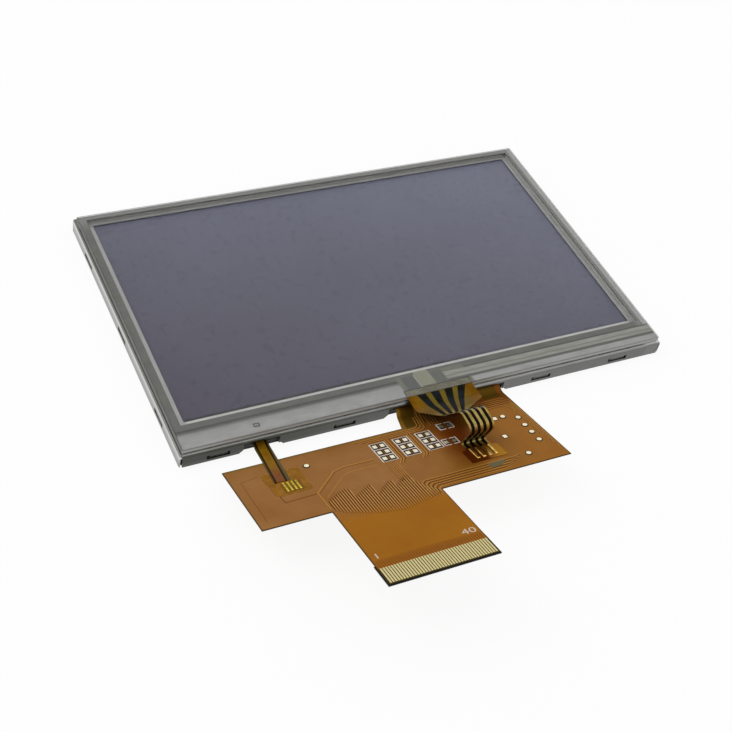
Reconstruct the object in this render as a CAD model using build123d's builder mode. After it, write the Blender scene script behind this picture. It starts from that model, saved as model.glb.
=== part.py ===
from build123d import *
from math import cos, radians, sin, tan
import os

# Colour display module with a resistive touch panel on its front.
# Millimetres. The origin is the middle of the rear face, +Z points out of the display,
# +X runs along the long side, and the flexible circuits leave at -Y.

os.makedirs("parts", exist_ok=True)

# Window of the bezel and the borders round it
window_length = 98.65
window_width = 56.32
window_radius = 0.4
border_left = 3.4
border_right = 3.45
border_back = 3.1
border_front = 7.78

# Steel shells
bezel_sheet = 0.2
bezel_bend = 0.45
tray_sheet = 0.2
tray_bend = 0.35
tray_wall_height = 1.9
slip = 0.1
wall_lift = 0.1
corner_ease = 0.1
corner_slit = 0.35
notch_height = 2.25
notch_chamfer = 0.8
notch_recess = 0.45

# Lanced catches in the bezel walls, and how deep they hook into the tray
catch_length = 4.5
catch_height = 0.95
catch_middle = 1.2
catch_end_gap = 0.5
catch_foot_gap = 0.12
catch_bite = 0.15
front_catch_from_left = (7.45, 32.65)
front_catch_from_right = (29.25, 10.65)
back_catch_from_end = (14.0, 39.0)
side_catch_pitch = 22.0

# Thicknesses of the stack, from the tray upwards
reflector_thickness = 0.1
guide_thickness = 0.6
lower_diffuser_thickness = 0.1
lower_prism_thickness = 0.1
upper_prism_thickness = 0.1
upper_diffuser_thickness = 0.1
panel_tape_thickness = 0.1
rear_polariser_thickness = 0.15
tft_thickness = 0.4
filter_thickness = 0.4
front_polariser_thickness = 0.15
bezel_gap = 0.2
touch_tape_thickness = 0.2
touch_glass_thickness = 0.7
spacer_thickness = 0.1
touch_film_thickness = 0.15

# How far each sheet reaches past the window
guide_overlap = 0.9
guide_front_overlap = 2.18
film_inset = 0.1
pocket_clearance = 0.1
filter_front_overlap = 1.68
polariser_inset = 0.5
panel_tape_overlap = 0.5
cell_clearance = 0.15
mould_wall = 0.85
mould_chamfer = 0.15

# Backlight row
led_count = 7
led_length = 3.8
led_depth = 0.8
led_height = 0.6
led_lens_depth = 0.12
led_lens_margin = 0.35
led_lift = 0.1
led_gap = 0.1
led_pocket_play = 0.2
led_circuit_thickness = 0.12
led_circuit_depth = 2.9
led_circuit_end = 1.0
backlight_tail_from_left = 15.75
backlight_tail_width = 2.95
backlight_tail_reach = 12.2
backlight_tail_bend = 3.0
backlight_tail_drift = 1.2
backlight_gap_left = 2.0
backlight_gap_right = 2.2

# Driver chip on the glass ledge
chip_length = 20.0
chip_width = 1.0
chip_thickness = 0.3

# Main flexible circuit: u runs along +X, v outwards along the slope from the front face
circuit_thickness = 0.15
circuit_slope = 18.0
circuit_height = 0.8
bond_length = 1.5
bond_inset = 0.1
neck_run = 0.5
neck_dip = 1.05
neck_bend = 2.1
neck_left = -9.3
neck_left_at_wing = -10.7
circuit_right = 13.75
neck_gap_left = 1.6
neck_gap_right = 0.9
wing_margin = 8.22
wing_back = 5.3
wing_front_left = 24.0
wing_front_right = 25.6
contact_count = 40
contact_pitch = 0.5
contact_width = 0.34
contact_length = 3.9
contact_end_gap = 0.25
contact_thickness = 0.04
tail_margin = 0.5
tail_left = -33.8
tail_end = 45.3
stiffener_length = 5.2
stiffener_thickness = 0.2
stiffener_edge = 0.15

# Bare pads and printed boxes on the main circuit
pad_thickness = 0.04
print_thickness = 0.03
print_line = 0.17
block_count = 3
block_pitch = 4.75
block_first_u = -17.45
block_middle_v = 11.0
block_length = 6.2
block_width = 3.15
block_rows = 3
pad_length = 0.95
pad_width = 0.8
pad_pitch = 1.5
pair_places = ((-2.83, 7.8), (-4.5, 12.9))
pair_length = 3.1
pair_width = 2.15
pair_pitch = 1.7
pair_opening = 0.5
test_pad_diameter = 0.95
round_pads_from_right = (
    (4.82, 9.38),
    (2.28, 10.85),
    (2.5, 13.63),
    (2.62, 16.25),
    (2.77, 19.04),
    (7.04, 22.19),
)
square_pads_from_right = ((6.64, 9.48), (8.13, 15.63))
left_pad_from_wing = 14.63
left_pad_v = 9.31

# Touch panel
touch_inset_side = 0.6
touch_inset_back = 1.05
touch_inset_front = 0.75
touch_tape_gap = 1.1
touch_tape_front_width = 1.5
touch_tape_inset = 0.35
spacer_inset = 0.15
spacer_side_overlap = 1.1
spacer_back_overlap = 0.8
spacer_front_overlap = 1.35
lead_width = 0.7
lead_gap = 0.35
lead_edge = 0.45
long_lead_width = 1.9
long_lead_offset = 2.8
lead_end_gap = 1.6

# Touch tail: fan root, arched strip and soldered end
fan_left = -7.0
fan_right = 7.2
fan_bond = 1.5
fan_straight = 4.3
fan_length = 7.3
strip_middle = -0.72
strip_width = 5.2
strip_end_width = 7.4
strip_end_from = 16.9
strip_end_to = 21.0
arch_flat = 3.2
arch_rise_start = 7.2
arch_rise_height = 1.3
arch_top_start = 11.7
arch_top_height = 7.45
arch_top_end = 16.6
arch_top_drop = 0.1
arch_foot = 14.3
arch_root_bend = 3.0
arch_rise_bend = 1.6
arch_top_bend = 2.2
arch_front_bend = 1.3
arch_foot_bend = 0.5
fan_corner = 0.4
line_count = 4
line_pitch = 1.25
line_width = 0.62
line_thickness = 0.04
fan_line_pitch = 2.93
fan_line_shift = 0.27
fan_line_width = 1.75
line_end = 16.7

# Solder joints
joint_width = 0.62
joint_length = 3.3
joint_height = 0.18
joint_gap = 0.1
joint_chamfer = 0.1
backlight_joint_count = 4
backlight_joint_pitch = 0.8
backlight_joint_width = 0.42
backlight_joint_length = 2.8
backlight_joint_gap = 0.4
backlight_joint_shift = 1.3

# Heights worked out from the stack
reflector_top = tray_sheet + reflector_thickness
guide_top = reflector_top + guide_thickness
lower_diffuser_top = guide_top + lower_diffuser_thickness
lower_prism_top = lower_diffuser_top + lower_prism_thickness
upper_prism_top = lower_prism_top + upper_prism_thickness
stack_top = upper_prism_top + upper_diffuser_thickness
panel_tape_top = stack_top + panel_tape_thickness
rear_polariser_top = panel_tape_top + rear_polariser_thickness
tft_top = rear_polariser_top + tft_thickness
filter_top = tft_top + filter_thickness
front_polariser_top = filter_top + front_polariser_thickness
bezel_under = front_polariser_top + bezel_gap
bezel_top = bezel_under + bezel_sheet
touch_tape_top = bezel_top + touch_tape_thickness
touch_glass_top = touch_tape_top + touch_glass_thickness
spacer_top = touch_glass_top + spacer_thickness
led_circuit_z = reflector_top + led_lift + led_height

# Outline of the module and the edges of the window
module_length = border_left + window_length + border_right
module_width = border_front + window_width + border_back
left_face = -module_length / 2
right_face = module_length / 2
front_face = -module_width / 2
back_face = module_width / 2
window_left = left_face + border_left
window_right = right_face - border_right
window_front = front_face + border_front
window_back = back_face - border_back

# Nested shells
tray_inset = bezel_sheet + slip
mould_inset = tray_inset + tray_sheet + slip
tray_front = front_face + tray_inset
mould_front = front_face + mould_inset
shell_corner = max(bezel_bend, tray_bend) + corner_ease

# Sheets, each as left, right, front and back edge
guide_area = (
    window_left - guide_overlap,
    window_right + guide_overlap,
    window_front - guide_front_overlap,
    window_back + guide_overlap,
)
cell_inset = mould_inset + mould_wall + cell_clearance
cell_area = (
    left_face + cell_inset,
    right_face - cell_inset,
    front_face + cell_inset,
    back_face - cell_inset,
)
filter_area = (cell_area[0], cell_area[1], window_front - filter_front_overlap, cell_area[3])
touch_area = (
    left_face + touch_inset_side,
    right_face - touch_inset_side,
    front_face + touch_inset_front,
    back_face - touch_inset_back,
)

# Places of the circuits along the front face
backlight_left = left_face + backlight_tail_from_left - backlight_tail_width / 2
backlight_right = backlight_left + backlight_tail_width
backlight_notch = (backlight_left - backlight_gap_left, backlight_right + backlight_gap_right)
neck_notch = (neck_left - neck_gap_left, circuit_right + neck_gap_right)
tail_width = (contact_count - 1) * contact_pitch + 2 * tail_margin
tail_right = tail_left + tail_width
wing_left = backlight_left - wing_margin
slope = radians(circuit_slope)
circuit_plane = Plane(
    origin=(0, front_face, circuit_height), x_dir=(1, 0, 0), z_dir=(0, sin(slope), cos(slope))
)


def grown(edges, amount):
    """Edges of a rectangle moved outwards by an amount."""
    return (edges[0] - amount, edges[1] + amount, edges[2] - amount, edges[3] + amount)


def area(edges, radius=0.0, mode=Mode.ADD):
    """Adds the rectangle between left, right, front and back edges to the open sketch."""
    left, right, front, back = edges
    with Locations(((left + right) / 2, (front + back) / 2)):
        if radius > 0:
            RectangleRounded(right - left, back - front, radius, mode=mode)
        else:
            Rectangle(right - left, back - front, mode=mode)


def slope_point(v, lift=0.0):
    """Y and Z of a point at v along the main circuit's upper side, lifted off it."""
    y = front_face - v * cos(slope) + lift * sin(slope)
    z = circuit_height + v * sin(slope) + lift * cos(slope)
    return (y, z)


def wall_plane(side, along, height):
    """Plane on the outer face of a bezel wall, its X along the wall and its Z outwards."""
    if side == "front":
        return Plane(origin=(along, front_face, height), x_dir=(1, 0, 0), z_dir=(0, -1, 0))
    if side == "back":
        return Plane(origin=(along, back_face, height), x_dir=(-1, 0, 0), z_dir=(0, 1, 0))
    if side == "left":
        return Plane(origin=(left_face, along, height), x_dir=(0, -1, 0), z_dir=(-1, 0, 0))
    return Plane(origin=(right_face, along, height), x_dir=(0, 1, 0), z_dir=(1, 0, 0))


catch_places = [("front", left_face + distance) for distance in front_catch_from_left]
catch_places += [("front", right_face - distance) for distance in front_catch_from_right]
catch_places += [("back", left_face + distance) for distance in back_catch_from_end]
catch_places += [("back", right_face - distance) for distance in back_catch_from_end]
catch_places += [("left", row * side_catch_pitch) for row in (-1, 0, 1)]
catch_places += [("right", row * side_catch_pitch) for row in (-1, 0, 1)]


# Front bezel: folded frame with a window, open corners, wall notches and lanced catches
with BuildPart() as front_bezel:
    with BuildSketch(Plane.XY.offset(wall_lift)):
        Rectangle(module_length, module_width)
    extrude(amount=bezel_top - wall_lift)
    fillet(front_bezel.edges().filter_by(Axis.Z), radius=shell_corner)
    fillet(front_bezel.faces().sort_by(Axis.Z)[-1].edges(), radius=bezel_bend)
    offset(amount=-bezel_sheet, openings=front_bezel.faces().sort_by(Axis.Z)[0])
    with BuildSketch(Plane.XY.offset(bezel_under)):
        area((window_left, window_right, window_front, window_back), window_radius)
    extrude(amount=bezel_sheet, mode=Mode.SUBTRACT)
    for notch_left, notch_right in (backlight_notch, neck_notch):
        with BuildSketch(Plane.XZ.offset(-front_face - bezel_sheet)):
            with BuildLine():
                Polyline(
                    (notch_left - notch_chamfer, wall_lift),
                    (notch_left, wall_lift + notch_chamfer),
                    (notch_left, wall_lift + notch_height),
                    (notch_right, wall_lift + notch_height),
                    (notch_right, wall_lift + notch_chamfer),
                    (notch_right + notch_chamfer, wall_lift),
                    close=True,
                )
            make_face()
        extrude(amount=bezel_sheet, mode=Mode.SUBTRACT)
    with BuildSketch(Plane.XY.offset(wall_lift)):
        slit_middle_x = module_length / 2 - bezel_sheet - corner_slit / 2
        slit_middle_y = (module_width - shell_corner) / 2
        with GridLocations(2 * slit_middle_x, 2 * slit_middle_y, 2, 2):
            Rectangle(corner_slit, shell_corner)
    extrude(amount=bezel_top - bezel_bend - wall_lift, mode=Mode.SUBTRACT)
    catch_push = slip + catch_bite
    tab_length = catch_length - 2 * catch_end_gap
    for side, along in catch_places:
        face = wall_plane(side, along, catch_middle)
        with BuildSketch(face):
            Rectangle(catch_length, catch_height)
        extrude(amount=-bezel_sheet, mode=Mode.SUBTRACT)
        tab_plane = Plane(origin=face.origin, x_dir=face.z_dir, z_dir=face.x_dir)
        tab_top = catch_height / 2
        tab_foot = catch_foot_gap - catch_height / 2
        with BuildSketch(tab_plane):
            with BuildLine():
                Polyline(
                    (0, -tab_top),
                    (-bezel_sheet, -tab_top),
                    (-bezel_sheet - catch_push, -tab_foot),
                    (-catch_push, -tab_foot),
                    close=True,
                )
            make_face()
        extrude(amount=tab_length / 2, both=True)
front_bezel.part.label = "front_bezel"
export_step(front_bezel.part, "parts/front_bezel.step")


# Rear tray: folded steel back, with windows for the catches and clear of both notches
with BuildPart() as rear_tray:
    with BuildSketch():
        Rectangle(module_length - 2 * tray_inset, module_width - 2 * tray_inset)
    extrude(amount=tray_wall_height)
    fillet(rear_tray.edges().filter_by(Axis.Z), radius=shell_corner)
    fillet(rear_tray.faces().sort_by(Axis.Z)[0].edges(), radius=tray_bend)
    offset(amount=-tray_sheet, openings=rear_tray.faces().sort_by(Axis.Z)[-1])
    for notch_left, notch_right in (backlight_notch, neck_notch):
        with BuildSketch():
            area((notch_left, notch_right, tray_front, tray_front + notch_recess))
        extrude(amount=tray_wall_height, mode=Mode.SUBTRACT)
    for side, along in catch_places:
        with BuildSketch(wall_plane(side, along, catch_middle)):
            Rectangle(catch_length, catch_height)
        extrude(amount=-tray_inset - tray_sheet, mode=Mode.SUBTRACT)
    with BuildSketch(Plane.XY.offset(tray_bend)):
        slit_middle_x = module_length / 2 - tray_inset - tray_sheet - corner_slit / 2
        slit_middle_y = (module_width - shell_corner) / 2 - tray_inset
        with GridLocations(2 * slit_middle_x, 2 * slit_middle_y, 2, 2):
            Rectangle(corner_slit, shell_corner)
    extrude(amount=tray_wall_height, mode=Mode.SUBTRACT)
rear_tray.part.label = "rear_tray"
export_step(rear_tray.part, "parts/rear_tray.step")


# Mould frame: carries the film stack, the LED row and the display cell
mould_edges = grown((left_face, right_face, front_face, back_face), -mould_inset)
led_row_front = guide_area[2] - led_gap - led_depth
led_seat_front = guide_area[2] + film_inset - led_gap - led_circuit_depth
with BuildPart() as mould_frame:
    with BuildSketch(Plane.XY.offset(tray_sheet)):
        area(mould_edges)
    extrude(amount=bezel_under - tray_sheet)
    fillet(mould_frame.edges().filter_by(Axis.Z), radius=shell_corner)
    chamfer(mould_frame.faces().sort_by(Axis.Z)[0].edges(), length=mould_chamfer)
    chamfer(mould_frame.faces().sort_by(Axis.Z)[-1].edges(), length=mould_chamfer)
    with BuildSketch(Plane.XY.offset(tray_sheet)):
        area(grown(guide_area, pocket_clearance))
        area((guide_area[0], guide_area[1], led_row_front - led_pocket_play, guide_area[2]))
    extrude(amount=stack_top - tray_sheet, mode=Mode.SUBTRACT)
    with BuildSketch(Plane.XY.offset(led_circuit_z)):
        area((guide_area[0], guide_area[1], led_seat_front - pocket_clearance, guide_area[2]))
    extrude(amount=stack_top - led_circuit_z, mode=Mode.SUBTRACT)
    with BuildSketch(Plane.XY.offset(stack_top)):
        area(grown(cell_area, cell_clearance))
    extrude(amount=bezel_under - stack_top, mode=Mode.SUBTRACT)
    with BuildSketch(Plane.XY.offset(led_circuit_z)):
        for notch_left, notch_right in (backlight_notch, neck_notch):
            area((notch_left, notch_right, mould_front, led_seat_front))
    extrude(amount=bezel_under - led_circuit_z, mode=Mode.SUBTRACT)
    with BuildSketch(Plane.XY.offset(tray_sheet)):
        for notch_left, notch_right in (backlight_notch, neck_notch):
            area((notch_left, notch_right, mould_front, mould_front + notch_recess - tray_sheet))
    extrude(amount=led_circuit_z - tray_sheet, mode=Mode.SUBTRACT)
mould_frame.part.label = "mould_frame"
export_step(mould_frame.part, "parts/mould_frame.step")


# Optical stack between the tray and the display cell
film_area = grown(guide_area, -film_inset)

with BuildPart() as reflector_film:
    with BuildSketch(Plane.XY.offset(tray_sheet)):
        area(film_area)
    extrude(amount=reflector_thickness)
reflector_film.part.label = "reflector_film"
export_step(reflector_film.part, "parts/reflector_film.step")

with BuildPart() as light_guide:
    with BuildSketch(Plane.XY.offset(reflector_top)):
        area(guide_area)
    extrude(amount=guide_thickness)
light_guide.part.label = "light_guide"
export_step(light_guide.part, "parts/light_guide.step")

with BuildPart() as lower_diffuser:
    with BuildSketch(Plane.XY.offset(guide_top)):
        area(film_area)
    extrude(amount=lower_diffuser_thickness)
lower_diffuser.part.label = "lower_diffuser"
export_step(lower_diffuser.part, "parts/lower_diffuser.step")

with BuildPart() as lower_prism_film:
    with BuildSketch(Plane.XY.offset(lower_diffuser_top)):
        area(film_area)
    extrude(amount=lower_prism_thickness)
lower_prism_film.part.label = "lower_prism_film"
export_step(lower_prism_film.part, "parts/lower_prism_film.step")

with BuildPart() as upper_prism_film:
    with BuildSketch(Plane.XY.offset(lower_prism_top)):
        area(film_area)
    extrude(amount=upper_prism_thickness)
upper_prism_film.part.label = "upper_prism_film"
export_step(upper_prism_film.part, "parts/upper_prism_film.step")

with BuildPart() as upper_diffuser:
    with BuildSketch(Plane.XY.offset(upper_prism_top)):
        area(film_area)
    extrude(amount=upper_diffuser_thickness)
upper_diffuser.part.label = "upper_diffuser"
export_step(upper_diffuser.part, "parts/upper_diffuser.step")


# LED row: side-shining packages that hang under the LED circuit and face the light guide
led_pitch = window_length / led_count
led_middle_x = (window_left + window_right) / 2
with BuildPart() as leds:
    with BuildSketch(Plane.XY.offset(reflector_top + led_lift)):
        with Locations((led_middle_x, led_row_front + led_depth / 2)):
            with GridLocations(led_pitch, 0, led_count, 1):
                Rectangle(led_length, led_depth)
    extrude(amount=led_height)
    lens_plane = Plane(
        origin=(led_middle_x, led_row_front + led_depth, reflector_top + led_lift + led_height / 2),
        x_dir=(1, 0, 0),
        z_dir=(0, -1, 0),
    )
    with BuildSketch(lens_plane):
        with GridLocations(led_pitch, 0, led_count, 1):
            Rectangle(led_length - 2 * led_lens_margin, led_height - led_lens_margin)
    extrude(amount=led_lens_depth, mode=Mode.SUBTRACT)
leds.part.label = "leds"
export_step(leds.part, "parts/leds.step")


# LED circuit: bar over the LEDs, and the backlight tail that runs out to the main circuit
led_circuit_back = led_seat_front + led_circuit_depth
tail_corner_y = front_face - (led_circuit_z - circuit_height) / tan(slope)
tail_end_y = slope_point(backlight_tail_reach)[0]
with BuildPart() as led_circuit:
    with BuildSketch(Plane.YZ.offset(backlight_left - backlight_tail_drift)):
        with BuildLine():
            FilletPolyline(
                (led_seat_front, led_circuit_z),
                (tail_corner_y, led_circuit_z),
                slope_point(backlight_tail_reach),
                radius=backlight_tail_bend,
            )
            offset(amount=led_circuit_thickness, side=Side.RIGHT)
        make_face()
    extrude(amount=backlight_tail_width + backlight_tail_drift)
    with BuildSketch():
        with BuildLine():
            Polyline(
                (backlight_left, led_seat_front),
                (backlight_right, led_seat_front),
                (backlight_right, front_face),
                (backlight_right - backlight_tail_drift, tail_end_y - bezel_top),
                (backlight_left - backlight_tail_drift, tail_end_y - bezel_top),
                (backlight_left, front_face),
                close=True,
            )
        make_face()
    extrude(amount=touch_glass_top + backlight_tail_reach, mode=Mode.INTERSECT)
    with BuildSketch(Plane.XY.offset(led_circuit_z)):
        bar_ends = (guide_area[0] + led_circuit_end, guide_area[1] - led_circuit_end)
        area((bar_ends[0], bar_ends[1], led_seat_front, led_circuit_back))
    extrude(amount=led_circuit_thickness)
led_circuit.part.label = "led_circuit"
export_step(led_circuit.part, "parts/led_circuit.step")


# Display cell
with BuildPart() as panel_tape:
    with BuildSketch(Plane.XY.offset(stack_top)):
        area(grown(cell_area, -film_inset))
        area(
            grown((window_left, window_right, window_front, window_back), panel_tape_overlap),
            mode=Mode.SUBTRACT,
        )
    extrude(amount=panel_tape_thickness)
panel_tape.part.label = "panel_tape"
export_step(panel_tape.part, "parts/panel_tape.step")

polariser_area = grown(filter_area, -polariser_inset)
with BuildPart() as rear_polariser:
    with BuildSketch(Plane.XY.offset(panel_tape_top)):
        area(polariser_area)
    extrude(amount=rear_polariser_thickness)
rear_polariser.part.label = "rear_polariser"
export_step(rear_polariser.part, "parts/rear_polariser.step")

with BuildPart() as tft_glass:
    with BuildSketch(Plane.XY.offset(rear_polariser_top)):
        area(cell_area)
    extrude(amount=tft_thickness)
tft_glass.part.label = "tft_glass"
export_step(tft_glass.part, "parts/tft_glass.step")

with BuildPart() as colour_filter_glass:
    with BuildSketch(Plane.XY.offset(tft_top)):
        area(filter_area)
    extrude(amount=filter_thickness)
colour_filter_glass.part.label = "colour_filter_glass"
export_step(colour_filter_glass.part, "parts/colour_filter_glass.step")

with BuildPart() as front_polariser:
    with BuildSketch(Plane.XY.offset(filter_top)):
        area(polariser_area)
    extrude(amount=front_polariser_thickness)
front_polariser.part.label = "front_polariser"
export_step(front_polariser.part, "parts/front_polariser.step")

bond_front = cell_area[2] + bond_inset
chip_middle_x = (neck_left + circuit_right) / 2
chip_middle_y = (filter_area[2] + bond_front + bond_length) / 2
with BuildPart() as driver_chip:
    with BuildSketch(Plane.XY.offset(tft_top)):
        with Locations((chip_middle_x, chip_middle_y)):
            Rectangle(chip_length, chip_width)
    extrude(amount=chip_thickness)
driver_chip.part.label = "driver_chip"
export_step(driver_chip.part, "parts/driver_chip.step")


# Main circuit: bonded neck that dips out through the notch, then the sloping board and tail
neck_turn_y = cell_area[2] - neck_run
with BuildPart() as main_circuit:
    with BuildSketch(Plane.YZ.offset(neck_left_at_wing)):
        with BuildLine():
            FilletPolyline(
                (bond_front + bond_length, tft_top),
                (neck_turn_y, tft_top),
                slope_point(neck_dip, -circuit_thickness),
                slope_point(wing_back, -circuit_thickness),
                radius=neck_bend,
            )
            offset(amount=circuit_thickness, side=Side.RIGHT)
        make_face()
    extrude(amount=circuit_right - neck_left_at_wing)
    wing_back_y = slope_point(wing_back)[0]
    with BuildSketch():
        with BuildLine():
            Polyline(
                (neck_left_at_wing, bond_front + bond_length),
                (neck_left, bond_front + bond_length),
                (neck_left, front_face),
                (neck_left_at_wing, wing_back_y),
                close=True,
            )
        make_face()
    extrude(amount=bezel_top, mode=Mode.SUBTRACT)
    with BuildSketch(circuit_plane):
        area((wing_left, circuit_right, -wing_front_left, -wing_back))
        area((tail_right, circuit_right, -wing_front_right, -wing_front_left))
        area((tail_left, tail_right, -tail_end, -wing_front_left))
    extrude(amount=-circuit_thickness)
main_circuit.part.label = "main_circuit"
export_step(main_circuit.part, "parts/main_circuit.step")

with BuildPart() as tail_stiffener:
    with BuildSketch(circuit_plane.offset(-circuit_thickness)):
        stiffener_back = -tail_end + stiffener_length
        area(
            (
                tail_left - stiffener_edge,
                tail_right + stiffener_edge,
                -tail_end - stiffener_edge,
                stiffener_back,
            )
        )
    extrude(amount=-stiffener_thickness)
tail_stiffener.part.label = "tail_stiffener"
export_step(tail_stiffener.part, "parts/tail_stiffener.step")

contact_middle_v = tail_end - contact_end_gap - contact_length / 2
with BuildPart() as contact_fingers:
    with BuildSketch(circuit_plane):
        with Locations(((tail_left + tail_right) / 2, -contact_middle_v)):
            with GridLocations(contact_pitch, 0, contact_count, 1):
                Rectangle(contact_width, contact_length)
    extrude(amount=contact_thickness)
contact_fingers.part.label = "contact_fingers"
export_step(contact_fingers.part, "parts/contact_fingers.step")


# Bare pads and printed boxes on the main circuit
block_middle_u = block_first_u + block_pitch * (block_count - 1) / 2
block_row_pitch = block_length / block_rows
with BuildPart() as component_pads:
    with BuildSketch(circuit_plane):
        with Locations((block_middle_u, -block_middle_v)):
            with GridLocations(block_pitch, 0, block_count, 1):
                with GridLocations(pad_pitch, block_row_pitch, 2, block_rows):
                    Rectangle(pad_width, pad_length)
        for pair_u, pair_v in pair_places:
            with Locations((pair_u, -pair_v)):
                with GridLocations(pair_pitch, 0, 2, 1):
                    Rectangle(pad_width, pad_length)
    extrude(amount=pad_thickness)
component_pads.part.label = "component_pads"
export_step(component_pads.part, "parts/component_pads.step")

with BuildPart() as printed_boxes:
    with BuildSketch(circuit_plane):
        with Locations((block_middle_u, -block_middle_v)):
            with GridLocations(block_pitch, 0, block_count, 1):
                Rectangle(block_width, block_length)
                with GridLocations(0, block_row_pitch, 1, block_rows):
                    Rectangle(
                        block_width - 2 * print_line,
                        block_row_pitch - print_line,
                        mode=Mode.SUBTRACT,
                    )
        for pair_u, pair_v in pair_places:
            with Locations((pair_u, -pair_v)):
                Rectangle(pair_length, pair_width)
                Rectangle(pair_length - 2 * print_line, pair_width - 2 * print_line, mode=Mode.SUBTRACT)
                Rectangle(pair_opening, pair_width, mode=Mode.SUBTRACT)
    extrude(amount=print_thickness)
printed_boxes.part.label = "printed_boxes"
export_step(printed_boxes.part, "parts/printed_boxes.step")

with BuildPart() as test_pads:
    with BuildSketch(circuit_plane):
        for pad_u, pad_v in round_pads_from_right:
            with Locations((circuit_right - pad_u, -pad_v)):
                Circle(test_pad_diameter / 2)
        with Locations((wing_left + left_pad_from_wing, -left_pad_v)):
            Circle(test_pad_diameter / 2)
        for pad_u, pad_v in square_pads_from_right:
            with Locations((circuit_right - pad_u, -pad_v)):
                Rectangle(pad_width, pad_length)
    extrude(amount=pad_thickness)
test_pads.part.label = "test_pads"
export_step(test_pads.part, "parts/test_pads.step")


# Touch panel
with BuildPart() as touch_tape:
    with BuildSketch(Plane.XY.offset(bezel_top)):
        tape_inner = grown((window_left, window_right, window_front, window_back), touch_tape_gap)
        tape_front = tape_inner[2] - touch_tape_front_width
        area(
            (
                touch_area[0] + touch_tape_inset,
                touch_area[1] - touch_tape_inset,
                tape_front,
                touch_area[3] - touch_tape_inset,
            )
        )
        area(tape_inner, mode=Mode.SUBTRACT)
    extrude(amount=touch_tape_thickness)
touch_tape.part.label = "touch_tape"
export_step(touch_tape.part, "parts/touch_tape.step")

with BuildPart() as touch_glass:
    with BuildSketch(Plane.XY.offset(touch_tape_top)):
        area(touch_area)
    extrude(amount=touch_glass_thickness)
touch_glass.part.label = "touch_glass"
export_step(touch_glass.part, "parts/touch_glass.step")

with BuildPart() as touch_film:
    with BuildSketch(Plane.XY.offset(spacer_top)):
        area(touch_area)
    extrude(amount=touch_film_thickness)
touch_film.part.label = "touch_film"
export_step(touch_film.part, "parts/touch_film.step")

# Silver bus bars along the four sides, the leads down to the tail and the long right-hand lead
bar_outer = (
    touch_area[0] + lead_edge,
    touch_area[1] - lead_edge,
    window_front - touch_tape_gap - lead_gap - lead_width,
    touch_area[3] - lead_edge,
)
bar_inner = grown(bar_outer, -lead_width)
fan_bond_back = touch_area[2] + fan_bond
lead_back = fan_bond_back + lead_gap
long_lead_back = window_front - long_lead_offset
long_lead_front = long_lead_back - long_lead_width
fan_line_first = (fan_left + fan_right) / 2 + fan_line_shift - fan_line_pitch * (line_count - 1) / 2
lead_edges = []
for line_index in range(line_count):
    lead_left = fan_line_first + line_index * fan_line_pitch - fan_line_width / 2
    lead_edges.append((lead_left, lead_left + fan_line_width))
with BuildPart() as silver_leads:
    with BuildSketch(Plane.XY.offset(touch_glass_top)):
        area((bar_outer[0], bar_inner[0], bar_inner[2] + lead_gap, bar_inner[3] - lead_gap))
        area((bar_inner[1], bar_outer[1], bar_inner[2] + lead_gap, bar_inner[3] - lead_gap))
        area((bar_inner[0] + lead_gap, bar_inner[1] - lead_gap, bar_inner[3], bar_outer[3]))
        area((bar_inner[0] + lead_gap, bar_inner[1] - lead_gap, bar_outer[2], bar_inner[2]))
        for lead_left, lead_right in lead_edges[:2]:
            area((lead_left, lead_right, lead_back, bar_outer[2] - lead_gap))
        for lead_left, lead_right in lead_edges[2:]:
            area((lead_left, lead_right, lead_back, long_lead_back))
        area((lead_edges[2][0], touch_area[1] - lead_end_gap, long_lead_front, long_lead_back))
    extrude(amount=spacer_thickness)
silver_leads.part.label = "silver_leads"
export_step(silver_leads.part, "parts/silver_leads.step")

with BuildPart() as touch_spacer:
    with BuildSketch(Plane.XY.offset(touch_glass_top)):
        area(grown(touch_area, -spacer_inset))
        area(
            (
                window_left - spacer_side_overlap,
                window_right + spacer_side_overlap,
                window_front - spacer_front_overlap,
                window_back + spacer_back_overlap,
            ),
            mode=Mode.SUBTRACT,
        )
        area((fan_left - slip, fan_right + slip, touch_area[2], fan_bond_back + slip), mode=Mode.SUBTRACT)
    extrude(amount=spacer_thickness)
    add(silver_leads.part, mode=Mode.SUBTRACT)
touch_spacer.part.label = "touch_spacer"
export_step(touch_spacer.part, "parts/touch_spacer.step")


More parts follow.
